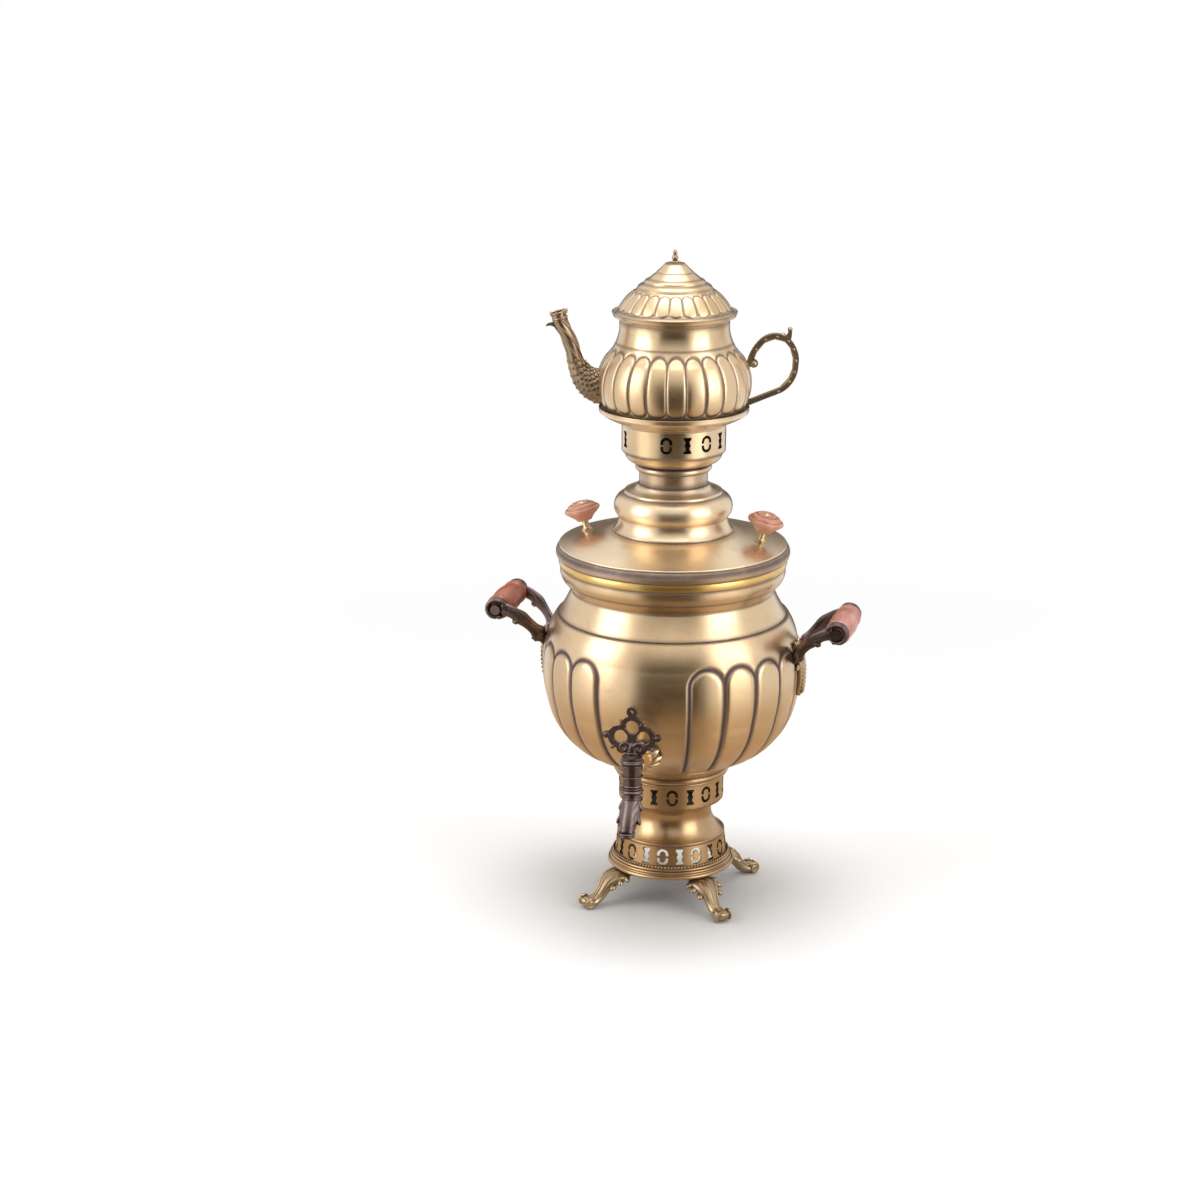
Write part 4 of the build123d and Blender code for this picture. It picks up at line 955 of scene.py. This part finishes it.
# The plate's line is (height, half width, half depth), and its lobes are (height, across, lean).
leafPlateLook = dict(
    line=[(248.0, 3.6, 1.6), (244.0, 7.6, 2.8), (238.0, 9.2, 3.8), (231.0, 9.4, 4.4), (224.0, 8.2, 4.6),
          (217.0, 7.0, 4.6), (210.0, 6.6, 4.4), (204.0, 5.6, 3.8), (199.0, 3.6, 2.2)],
    rise=2.4, ribs=[202.6, 206.4, 210.2, 214.0, 217.8, 221.6, 225.4], ribRise=6.0, ribSize=(6.0, 1.5, 1.2),
    lobes=[(246.0, 5.6, 40.0), (239.0, 9.6, 70.0), (227.0, 9.2, 110.0)],
    lobeRise=1.6, lobeSize=(4.6, 2.6, 2.0),
    curlOn=243.0, curlRise=4.4, curlHeight=242.0,
    curl=dict(spiral=(3.6, 0.8, 200.0, -1.2, 20), size=(1.4, 3.4, 0.6), sides=10),
)


def wallReach(height):
    # Outer radius of the urn's wall at a height.
    wall = tracePath(urnLook["path"], urnLook["step"])
    for low, high in zip(wall, wall[1:]):
        if low[1] <= height <= high[1] and high[1] > low[1]:
            return low[0] + (high[0] - low[0]) * (height - low[1]) / (high[1] - low[1])
    return wall[-1][0]


def armPoint(share, side):
    look, turn = handleLook, radians(90.0 * share)
    return Vector((
        look["rootReach"] + look["run"] * (1 - cos(turn)),
        side * (look["rootSpread"] + look["spread"] * sin(turn)),
        look["rootHeight"] + look["rise"] * share**2 * (3 - 2 * share),
    ))


def armSwell(share):
    return sum(rise * exp(-((share - at) / width) ** 2) for at, width, rise in handleLook["swells"])


def armAhead(share, side):
    step = handleLook["aimStep"]
    return (armPoint(min(share + step, 1.0), side) - armPoint(max(share - step, 0.0), side)).normalized()


def armVein(shares, side, face, lift):
    look = handleLook
    least, most, waves = look["veinWave"]
    vein = []
    for share in shares:
        ahead = armAhead(share, side)
        out = Vector((ahead.y, -ahead.x, 0.0)).normalized() * face
        beside = out * (look["thick"] + look["veinSwell"] * armSwell(share))
        wave = least + most * sin(radians(waves * share))
        vein.append(armPoint(share, side) + beside + upward * lift * wave)
    return vein


def addArm(bm, side):
    look = handleLook
    shares = [i / look["steps"] for i in range(look["steps"] + 1)]
    line = [armPoint(share, side) for share in shares]
    sizes = [
        (look["thick"] + look["swellThick"] * armSwell(share), look["deep"] + armSwell(share))
        for share in shares
    ]
    addLimb(bm, line, sizes, upward, 16)
    # Veins on both faces, a leaf tip below each swelling and a curl beside it.
    for face in (-1, 1):
        for lift in look["veins"]:
            addVein(bm, armVein(shares[2:-3], side, face, lift), look["veinSize"], upward, 6)
    below, beyond = look["leafCurlPlace"]
    for share, drop, reach, lean in look["leaves"]:
        ahead = armAhead(share, side)
        across = ahead.cross(upward)
        tip = armPoint(share, side) - upward * drop
        addBud(bm, tip, (ahead - upward * lean).normalized(), (reach, *look["leafSize"]), across)
        addCurl(bm, tip - upward * below + ahead * beyond, ahead, upward, across, look["leafCurl"])
    for share, lift in look["tips"]:
        ahead = armAhead(share, side)
        addBud(bm, armPoint(share, side) + upward * lift, ahead, look["tipSize"], ahead.cross(upward))


def addStrap(bm, side):
    # The arm's end goes over the end of the grip and hooks round it.
    look = handleLook
    hub = Vector((look["gripReach"], side * (look["gripHalf"] + look["strapAcross"]), look["gripHeight"]))
    strap = addCurl(bm, hub, alongX, upward, alongY, look["strap"])
    addBud(bm, strap[-1], alongY, look["strapBud"], upward)
    for lift in look["edges"]:
        addVein(bm, [point + alongY * lift for point in strap[1:-2]], look["edgeSize"], alongY, 8)
    collar = hub - alongY * side * look["collarIn"]
    addHoop(bm, collar, alongY, look["collarRadius"], look["collarThick"], 40, 8)


def addPlate(bm):
    # Leaf plate that lies on the wall, ribbed across its tail.
    look = leafPlateLook
    line = [Vector((wallReach(z) + look["rise"], 0.0, z)) for z, wide, deep in look["line"]]
    addLimb(bm, line, [(wide, deep) for z, wide, deep in look["line"]], alongX, 24)
    for z in look["ribs"]:
        spot = Vector((wallReach(z) + look["ribRise"], 0.0, z))
        addBud(bm, spot, alongY, look["ribSize"], alongX, 8, 10)
    for z, across, lean in look["lobes"]:
        for side in (-1, 1):
            ahead = upward * cos(radians(lean)) + alongY * side * sin(radians(lean))
            spot = Vector((wallReach(z) + look["lobeRise"], side * across, z))
            addBud(bm, spot, ahead, look["lobeSize"], alongX)
    hub = Vector((wallReach(look["curlOn"]) + look["curlRise"], 0.0, look["curlHeight"]))
    addCurl(bm, hub, alongX, upward, alongY, look["curl"])


def makeHandles():
    for name, azimuth in (("right", 0.0), ("left", 180.0)):
        bm = bmesh.new()
        addPlate(bm)
        turnAbout(bm, azimuth)
        finishCasting(bm, name + "_handle_leaf", ornamentBrass, "urn")
        bm = bmesh.new()
        for side in (-1, 1):
            addArm(bm, side)
            addStrap(bm, side)
        turnAbout(bm, azimuth)
        finishCasting(bm, name + "_handle_scrolls", handleBrass, "urn", [name + "_handle_bracket"])


makeHandles()
print("handles dressed")


# Tap

# The tap runs out along -Y: points are (reach, height) in that plane, hoops (height, radius, thickness).
tapLook = dict(
    reach=145.0, pipeHeight=167.0,
    hoops=[(148.0, 9.1, 1.1), (151.0, 8.6, 0.7), (161.5, 8.9, 0.8), (174.4, 9.3, 1.2), (171.4, 8.7, 0.7)],
    leaf=[(145.0, 147.0), (145.6, 142.0), (147.4, 136.5), (150.4, 131.0), (154.0, 126.0),
          (157.6, 121.5), (160.8, 117.4), (162.6, 113.6)],
    leafSizes=[(7.8, 7.8), (6.9, 7.4), (7.2, 8.6), (7.8, 9.4), (7.4, 8.8), (6.6, 7.4), (5.9, 6.2),
               (6.0, 6.0)],
    veinEvery=30, veinTwist=16.0, veinWidth=0.94, veinSize=(0.9, 0.9, 0.5), veinFlat=(0.3, 0.9, 0.1),
    sideLeaves=(2, 4), sidePlace=0.86, sideSpread=0.45, sideSize=(6.4, 2.2, 3.4), collar=(7.6, 1.0),
    outletReach=163.0, outletHeight=112.0, lips=[(3.4, 6.4, 1.2), (1.0, 6.2, 0.9)],
    brace=[(131.0, 161.0), (132.5, 156.0), (131.0, 150.5), (130.5, 145.0), (132.0, 139.5), (135.5, 134.5),
           (140.5, 131.5)],
    braceSizes=[(3.4, 2.4), (4.2, 2.6), (3.4, 2.2), (2.8, 2.0), (2.8, 2.0), (3.2, 2.4), (3.4, 2.8)],
    braceHub=(129.2, 153.0), braceCurl=dict(spiral=(3.6, 0.9, 80.0, 1.2, 20), size=(2.4, 1.1), sides=8),
)
# The sleeve is (reach, radius).
coneLook = dict(
    sleeve=[(136.5, 7.6), (133.0, 7.9), (120.0, 8.8), (108.0, 10.4), (98.0, 11.6)], hoop=(7.5, 1.0),
)
rosetteLook = dict(
    seat=(0.0, -103.0, 167.0), lean=30.0, petals=12, place=10.8, rise=5.6, dip=0.75, size=(7.6, 2.5, 3.0),
)


def tapPoint(reach, height):
    return Vector((0.0, -reach, height))


def addTapLeaf(bm):
    # Leaf-wrapped spout: a broad leaf with twisted veins, and collars above and below it.
    look = tapLook
    line, sizes = [tapPoint(*point) for point in look["leaf"]], look["leafSizes"]
    addLimb(bm, line, sizes, alongX, 20)
    for turn in range(0, 360, look["veinEvery"]):
        vein = []
        for i in range(1, len(line) - 1):
            deep, wide = sizes[i]
            angle = radians(turn + look["veinTwist"] * (i - 1))
            out = alongX.cross(pathAhead(line, i))
            vein.append(line[i] + out * deep * cos(angle) + alongX * wide * look["veinWidth"] * sin(angle))
        addVein(bm, vein, look["veinSize"], Vector(look["veinFlat"]), 6)
    for i in look["sideLeaves"]:
        ahead = pathAhead(line, i)
        for side in (-1, 1):
            tip = line[i] + alongX * side * sizes[i][1] * look["sidePlace"]
            away = (ahead + alongX * side * look["sideSpread"]).normalized()
            addBud(bm, tip, away, look["sideSize"], alongX.cross(ahead))
    addHoop(bm, line[1], upward, *look["collar"], 36, 8)
    for lift, radius, thick in look["lips"]:
        addHoop(bm, tapPoint(look["outletReach"], look["outletHeight"] + lift), upward, radius, thick, 36, 8)


def makeTap():
    look = tapLook
    bm = bmesh.new()
    for height, radius, thick in look["hoops"]:
        addHoop(bm, tapPoint(look["reach"], height), upward, radius, thick, 40, 8)
    addTapLeaf(bm)
    # Scroll that braces the pipe and the spout from behind.
    addLimb(bm, [tapPoint(*point) for point in look["brace"]], look["braceSizes"], alongX, 12)
    addCurl(bm, tapPoint(*look["braceHub"]), -alongY, upward, alongX, look["braceCurl"])
    finishCasting(bm, "tap_scrolls", handleBrass, "urn")

    bm = bmesh.new()
    sleeve = [tapPoint(reach, look["pipeHeight"]) for reach, radius in coneLook["sleeve"]]
    addLimb(bm, sleeve, [(radius, radius) for reach, radius in coneLook["sleeve"]], alongX, 32)
    addHoop(bm, sleeve[0], alongY, *coneLook["hoop"], 36, 8)
    finishPiece(bm, "tap_cone", plainBrass, "urn")

    look = rosetteLook
    bm = bmesh.new()
    out = Vector((0.0, -cos(radians(look["lean"])), -sin(radians(look["lean"]))))
    seat = Vector(look["seat"]) + out * look["rise"]
    for away in spokes(look["petals"], alongX, out.cross(alongX)):
        ahead = (away - out * look["dip"]).normalized()
        addBud(bm, seat + away * look["place"], ahead, look["size"], out, 12, 8)
    finishPiece(bm, "tap_rosette", antiqueBrass, "urn")


makeTap()


# Key of the tap

# Points are (across, height) from the middle of the trefoil, with a lean in degrees for the leaves.
keyLook = dict(
    centre=(0.0, -145.0, 198.3), lobes=[(-9.9, -2.0), (9.9, -2.0), (0.0, 7.0)], lobeHoop=(7.0, 1.35),
    ring=20.7, ringHoop=(3.2, 1.6),
    buds=[(-22.5, -1.0), (22.5, -1.0)], budSize=(3.4, 3.0, 3.0), barPlace=0.88, barSize=(4.6, 1.4, 2.4),
    leaves=[(-8.2, 9.6, 40.0), (8.2, 9.6, -40.0), (-16.0, -11.0, 130.0), (16.0, -11.0, -130.0)],
    leafSize=(4.4, 1.7, 2.4), scroll=(6.4, -1.6, -11.4),
    scrollCurl=dict(spiral=(5.4, 1.2, 250.0, -1.35, 26), size=(1.9, 1.4), sides=8),
    stem=[(-19.0, 6.2, 5.4), (-16.0, 5.4, 4.8), (-13.0, 4.6, 4.0), (-10.0, 4.0, 3.2), (-7.0, 2.4, 2.4)],
    stemHoops=[(-18.4, 6.0), (-15.6, 5.4)], stemHoopThick=0.9,
)


def makeKey():
    look = keyLook
    centre = Vector(look["centre"])
    bm = bmesh.new()
    for x, z in look["lobes"]:
        addHoop(bm, centre + Vector((x, 0.0, z)), alongY, *look["lobeHoop"], 40, 10)
    addHoop(bm, centre + upward * look["ring"], alongY, *look["ringHoop"], 32, 10)
    for x, z in look["buds"]:
        addBud(bm, centre + Vector((x, 0.0, z)), alongX, look["budSize"], alongY)
        addBud(bm, centre + Vector((x * look["barPlace"], 0.0, z)), upward, look["barSize"], alongY)
    for x, z, lean in look["leaves"]:
        ahead = Vector((-sin(radians(lean)), 0.0, cos(radians(lean))))
        addBud(bm, centre + Vector((x, 0.0, z)), ahead, look["leafSize"], alongY)
    # A pair of scrolls over the stem.
    across, front, drop = look["scroll"]
    for side in (-1, 1):
        hub = centre + Vector((side * across, front, drop))
        addCurl(bm, hub, alongX * side, upward, alongY, look["scrollCurl"])
    stem = [centre + upward * z for z, wide, deep in look["stem"]]
    addLimb(bm, stem, [(wide, deep) for z, wide, deep in look["stem"]], alongY, 16)
    for z, radius in look["stemHoops"]:
        addHoop(bm, centre + upward * z, upward, radius, look["stemHoopThick"], 32, 8)
    finishCasting(bm, "key_scrolls", handleBrass, "tap_key")


makeKey()
print("tap and key dressed")


# Feet

# The line is (reach, height) with (half width, half depth); lobes are (reach, height, across, turn).
footLook = dict(
    azimuths={"rear_right": 45.0, "rear_left": 135.0, "front_left": 225.0, "front_right": 315.0},
    line=[(48.5, 27.2), (55.0, 26.4), (61.5, 24.6), (67.0, 20.2), (71.2, 14.6), (75.6, 9.0), (81.0, 5.7),
          (86.6, 4.8), (91.0, 6.4), (93.4, 9.2)],
    sizes=[(11.0, 3.4), (13.0, 4.4), (12.0, 5.6), (9.2, 5.8), (7.0, 4.8), (6.2, 4.4), (6.6, 4.6),
           (7.2, 4.8), (6.6, 3.4), (4.8, 1.6)],
    slant=(0.3, 0.0, 1.0), veins=(-0.6, 0.0, 0.6), veinRise=0.98, veinFall=0.5, veinSize=(1.1, 1.0, 0.4),
    lobes=[(54.0, 25.6, 12.6, 70.0), (60.5, 23.6, 12.4, 55.0), (66.6, 19.0, 9.6, 35.0)],
    lobeFall=-0.35, lobeSize=(4.8, 3.0, 2.4),
    toe=(88.0, 5.8), toeAcross=[(-7.6, 2.6), (-6.8, 4.0), (0.0, 4.6), (6.8, 4.0), (7.6, 2.6)],
    toeHub=6.8, toeCurl=dict(spiral=(5.2, 1.0, 150.0, -1.5, 28), size=(1.5, 1.0, 0.5), sides=8),
)


def makeFoot(name, azimuth):
    look = footLook
    slant = Vector(look["slant"])
    bm = bmesh.new()
    line = sideLine(look["line"])
    addLimb(bm, line, look["sizes"], slant, 20)
    # Midrib and side veins of the leaf, on its upper face.
    for across in look["veins"]:
        vein = []
        for i in range(1, len(line) - 1):
            wide, deep = look["sizes"][i]
            up = alongY.cross(pathAhead(line, i)) * -1.0
            lift = up * deep * (look["veinRise"] - look["veinFall"] * across**2)
            vein.append(line[i] + lift + alongY * wide * across)
        addVein(bm, vein, look["veinSize"], slant, 8)
    # Lobes of the leaf beside the ring, and the rolled toe with its scrolls.
    reach, height = look["toe"]
    for side in (-1, 1):
        for place, lift, wide, turn in look["lobes"]:
            away = Vector((cos(radians(turn)), side * sin(radians(turn)), look["lobeFall"])).normalized()
            addBud(bm, Vector((place, side * wide, lift)), away, look["lobeSize"], slant, 12, 8)
        addCurl(bm, Vector((reach, side * look["toeHub"], height)), alongX, upward, alongY, look["toeCurl"])
    toe = [Vector((reach, across, height)) for across, size in look["toeAcross"]]
    addLimb(bm, toe, [(size, size) for across, size in look["toeAcross"]], upward, 20)
    turnAbout(bm, azimuth)
    finishCasting(bm, name + "_scroll_foot", ornamentBrass, "urn", [name + "_foot"])


for name, azimuth in footLook["azimuths"].items():
    makeFoot(name, azimuth)
print("feet modelled")


# Rope bead of the base ring

ropeLook = dict(reach=52.6, height=41.7, beads=110, beadSize=(1.7, 0.9, 0.9), lean=40.0)


def makeBaseRope():
    look = ropeLook
    bm = bmesh.new()
    for out in spokes(look["beads"], alongX, alongY):
        around = upward.cross(out)
        ahead = around * cos(radians(look["lean"])) + upward * sin(radians(look["lean"]))
        addBud(bm, out * look["reach"] + upward * look["height"], ahead, look["beadSize"], out, 6, 4)
    finishPiece(bm, "base_rope", shadedSootyStandBrass, "urn")


makeBaseRope()


# Spout of the teapot

potPlace = dict(reach=67.3, height=441.5)

# The spout's line is (out, up, lean, radius) from the foot of the teapot's wall.
spoutLook = dict(
    turn=195.0,
    line=[(-2.0, 30.8, 84.0, 15.0), (6.5, 34.2, 66.0, 13.0), (13.0, 41.0, 42.0, 10.4),
          (19.2, 54.0, 14.0, 7.0), (22.0, 66.0, 13.0, 6.1), (26.2, 77.0, 24.0, 5.8),
          (31.2, 86.0, 26.0, 5.9), (33.7, 96.5, 14.0, 6.3)],
    rows=9, rowFrom=0.1, rowPitch=0.36, scales=13, scaleSize=(3.3, 2.3, 0.75), scaleLift=0.18, sunk=0.2,
    scaleLeast=0.45, scaleMore=0.55, rootRadius=15.0,
    ridges=6, ridgeFrom=2.9, ridgePitch=0.19, ridgeSteps=22, ridgeTurn=7.0, ridgeSunk=0.1,
    ridgeSize=(1.0, 0.9), ridgeFlat=(0.9, 0.1, 0.3),
    hoops=[(0.0, 6.9, 0.9), (-5.0, 6.3, 0.8)],
    prongs=7, prongReach=6.9, prongBack=0.6, prongSpread=0.5, prongSize=(2.6, 1.5, 1.1),
)


def spoutStation(place):
    # Middle, direction and radius of the spout at a place along its line of stations.
    line = spoutLook["line"]
    index = min(int(place), len(line) - 2)
    share = place - index
    pairs = zip(line[index], line[index + 1])
    out, up, lean, radius = (first + (second - first) * share for first, second in pairs)
    centre = Vector((potPlace["reach"] + out, 0.0, potPlace["height"] + up))
    return centre, Vector((sin(radians(lean)), 0.0, cos(radians(lean)))), radius


def makeSpout():
    look = spoutLook
    bm = bmesh.new()
    for row in range(look["rows"]):
        centre, ahead, radius = spoutStation(look["rowFrom"] + row * look["rowPitch"])
        grown = look["scaleLeast"] + look["scaleMore"] * radius / look["rootRadius"]
        size = [part * grown for part in look["scaleSize"]]
        for out in spokes(look["scales"], ahead.cross(alongY), alongY, 0.5 * (row % 2)):
            spot = centre + out * (radius - look["sunk"])
            addBud(bm, spot, (ahead + out * look["scaleLift"]).normalized(), size, out, 8, 6)
    for ridge in range(look["ridges"]):
        vein = []
        for i in range(look["ridgeSteps"]):
            centre, ahead, radius = spoutStation(look["ridgeFrom"] + i * look["ridgePitch"])
            angle = radians(360.0 * ridge / look["ridges"] + look["ridgeTurn"] * i)
            out = ahead.cross(alongY) * cos(angle) + alongY * sin(angle)
            vein.append(centre + out * (radius - look["ridgeSunk"]))
        addVein(bm, vein, look["ridgeSize"], Vector(look["ridgeFlat"]), 6)
    # Hoops and a crown of prongs at the mouth.
    centre, ahead, radius = spoutStation(len(look["line"]) - 1.0)
    for back, radius, thick in look["hoops"]:
        addHoop(bm, centre + ahead * back, ahead, radius, thick, 36, 8)
    for out in spokes(look["prongs"], ahead.cross(alongY), alongY):
        spot = centre + out * look["prongReach"] - ahead * look["prongBack"]
        addBud(bm, spot, (ahead + out * look["prongSpread"]).normalized(), look["prongSize"], out, 8, 6)
    turnAbout(bm, look["turn"])
    finishCasting(bm, "spout_scales", shadedSpoutBrass, "teapot")


makeSpout()


# Handle of the teapot

# The rib is (out, up) and the balls are (out, up, radius) from the foot of the teapot's wall.
strapLook = dict(
    turn=15.0,
    rib=[(-0.6, 53.0), (2.6, 62.0), (10.0, 71.4), (20.0, 75.0), (30.0, 72.4), (35.6, 66.0), (38.4, 56.0),
         (38.0, 46.0), (34.4, 37.2), (25.4, 28.0), (10.0, 21.8)],
    ribSize=(2.5, 3.0, 0.8), balls=[(2.0, 51.4, 3.9), (33.2, 81.4, 2.2), (27.2, 76.2, 2.3)], ballExtra=0.6,
    leafAcross=2.4, leafSpread=0.35, leafSize=(4.0, 1.3, 1.0),
)


def makeStrap():
    look = strapLook
    bm = bmesh.new()
    line = sideLine(look["rib"], **potPlace)
    addVein(bm, line, look["ribSize"], alongY, 12)
    for out, up, size in look["balls"]:
        spot = sideLine([(out, up)], **potPlace)[0]
        addBud(bm, spot, alongY, (size + look["ballExtra"], size, size), upward, 16, 10)
    for i in range(1, len(line) - 1):
        ahead = pathAhead(line, i)
        for side in (-1, 1):
            away = (ahead + alongY * side * look["leafSpread"]).normalized()
            addBud(bm, line[i] + alongY * side * look["leafAcross"], away, look["leafSize"], alongY, 8, 6)
    turnAbout(bm, look["turn"])
    finishCasting(bm, "strap_leaves", ornamentBrass, "teapot")


makeStrap()
print("teapot dressed")


# Studio

# Close to the object the paper's colour is painted darker: a painted contact shadow round the feet.
studio = dict(
    floorRadius=3.0, darkFrom=0.06, clearAround=0.22, whiteFrom=1.3, worldGrey=(0.62, 0.62, 0.62),
    paintedShadowPaper=(0.7, 0.69, 0.68), paper=(0.86, 0.86, 0.86), paperRoughness=0.9, white=(1.0, 1.0, 1.0, 1.0),
    lampAim=(0.0, 0.0, 0.3),
)
softboxes = {
    "left box": dict(place=(-1.7, -1.2, 1.1), size=(1.2, 1.8), watts=20.5),
    "right box": dict(place=(1.9, -0.7, 1.0), size=(1.2, 1.8), watts=18.5),
    "top box": dict(place=(0.0, 0.1, 2.3), size=(1.6, 1.6), watts=26.0),
}


def seenBy(tree, *rays):
    # 1 for what the camera or a mirror sees, and 0 for what lights the object.
    kinds = addNode(tree, "ShaderNodeLightPath").outputs
    seen = kinds[rays[0]]
    for ray in rays[1:]:
        seen = mathNode(tree, "MAXIMUM", seen, kinds[ray])
    return seen


def makeFloor():
    material, tree, shader, place = newMaterial("floor paper")
    distance = vectorNode(tree, "LENGTH", place).outputs["Value"]
    # Painted shadow: the paper is darker close to the object and pales out to its plain colour by
    # clearAround.
    near = remap(tree, distance, studio["darkFrom"], studio["clearAround"])
    shade = mixColours(tree, near, studio["paintedShadowPaper"], studio["paper"])
    tree.links.new(shade, shader.inputs["Base Color"])
    shader.inputs["Roughness"].default_value = studio["paperRoughness"]
    away = remap(tree, distance, studio["clearAround"], studio["whiteFrom"])
    seen = seenBy(tree, "Is Camera Ray", "Is Glossy Ray")
    white = addNode(tree, "ShaderNodeEmission", {"Color": studio["white"], "Strength": 1.0})
    showThrough(tree, mathNode(tree, "MULTIPLY", away, seen), shader, white)
    bm = bmesh.new()
    bmesh.ops.create_circle(bm, cap_ends=True, segments=96, radius=studio["floorRadius"])
    linkMesh(bm, "floor", material)


def makeWorld():
    world = bpy.data.worlds.new("studio")
    bpy.context.scene.world = world
    world.use_nodes = True
    tree = world.node_tree
    seen = seenBy(tree, "Is Camera Ray", "Is Glossy Ray", "Is Transmission Ray")
    tone = mixColours(tree, seen, studio["worldGrey"], studio["white"][:3])
    tree.links.new(tone, tree.nodes["Background"].inputs["Color"])


def makeLights():
    aim = Vector(studio["lampAim"])
    for name, box in softboxes.items():
        data = bpy.data.lights.new(name, "AREA")
        data.shape = "RECTANGLE"
        data.size, data.size_y = box["size"]
        data.energy = box["watts"]
        lamp = bpy.data.objects.new(name, data)
        lamp.location = box["place"]
        lamp.rotation_euler = (aim - lamp.location).to_track_quat("-Z", "Y").to_euler()
        bpy.context.scene.collection.objects.link(lamp)


# Cloths that only the polished brass mirrors: dark ones in front and behind, a brown ring on the floor.
clothShared = dict(clearFrom=1.0, clearTo=1.9, fadeFrom=4.0, fadeTo=5.0, steps=24, edge=0.1)
screens = {
    "dark_cloth": dict(
        clothShared, azimuth=-77.5, spread=35.0, soft=9.0, rise=[(0.13, 0.0015), (2.6, 0.0015), (2.6, 1.9)],
        nearTone=(0.46, 0.33, 0.2), farTone=(0.035, 0.024, 0.016), darkFrom=0.19, darkTo=0.72,
    ),
    "rear_cloth": dict(
        clothShared, azimuth=102.5, spread=32.0, soft=12.0, rise=[(0.3, 0.0015), (2.6, 0.0015), (2.6, 1.9)],
        nearTone=(0.56, 0.42, 0.27), farTone=(0.07, 0.05, 0.035), darkFrom=0.35, darkTo=0.9,
    ),
    "brown_cloth": dict(
        clothShared, azimuth=0.0, spread=180.0, soft=0.1, rise=[(0.1, 0.001), (1.1, 0.001)],
        nearTone=(0.57, 0.4, 0.26), farTone=(0.78, 0.63, 0.48), darkFrom=0.15, darkTo=0.7,
        fadeFrom=0.35, fadeTo=1.0,
    ),
}


def clothMaterial(name, screen):
    material, tree, shader, place = newMaterial(name)
    parts = addNode(tree, "ShaderNodeSeparateXYZ", {0: place}).outputs
    reach = vectorNode(tree, "LENGTH", place).outputs["Value"]
    away = remap(tree, reach, screen["darkFrom"], screen["darkTo"])
    tone = mixColours(tree, away, screen["nearTone"], screen["farTone"])
    # The cloth thins out towards its sides, its top and its far edge.
    turn = mathNode(tree, "ARCTAN2", parts[1], parts[0])
    side = mathNode(tree, "ABSOLUTE", mathNode(tree, "SUBTRACT", turn, radians(screen["azimuth"])))
    inner, outer = radians(screen["spread"] - screen["soft"]), radians(screen["spread"] + screen["edge"])
    above = remap(tree, parts[2], screen["clearFrom"], screen["clearTo"])
    clear = mathNode(tree, "MAXIMUM", remap(tree, side, inner, outer), above)
    clear = mathNode(tree, "MAXIMUM", clear, remap(tree, reach, screen["fadeFrom"], screen["fadeTo"]))
    glow = addNode(tree, "ShaderNodeEmission", {"Color": tone, "Strength": 1.0})
    showThrough(tree, clear, glow, addNode(tree, "ShaderNodeBsdfTransparent"))
    return material


def makeScreen(name, screen):
    bm = bmesh.new()
    first = radians(screen["azimuth"] - screen["spread"])
    ends = [bm.verts.new((reach * cos(first), reach * sin(first), z)) for reach, z in screen["rise"]]
    edges = [bm.edges.new(pair) for pair in zip(ends, ends[1:])]
    bmesh.ops.spin(
        bm, geom=ends + edges, cent=(0, 0, 0), axis=(0, 0, 1), angle=radians(2 * screen["spread"]),
        steps=screen["steps"], use_merge=False, use_duplicate=False,
    )
    cloth = linkMesh(bm, name, clothMaterial(name, screen))
    cloth.visible_camera = False
    cloth.visible_shadow = False
    cloth.visible_diffuse = False


view = dict(place=(0.5385, -2.2606, 0.944), tilt=74.0, turn=15.0, lens=81.0, film=36.0, near=0.05)


def makeCamera():
    data = bpy.data.cameras.new("camera")
    data.lens = view["lens"]
    data.sensor_width = view["film"]
    data.clip_start = view["near"]
    camera = bpy.data.objects.new("camera", data)
    camera.location = view["place"]
    camera.rotation_euler = (radians(view["tilt"]), 0.0, radians(view["turn"]))
    bpy.context.scene.collection.objects.link(camera)
    bpy.context.scene.camera = camera


makeFloor()
makeWorld()
makeLights()
for name, screen in screens.items():
    makeScreen(name, screen)
makeCamera()
bpy.context.scene.view_settings.view_transform = "Standard"
print("studio set")
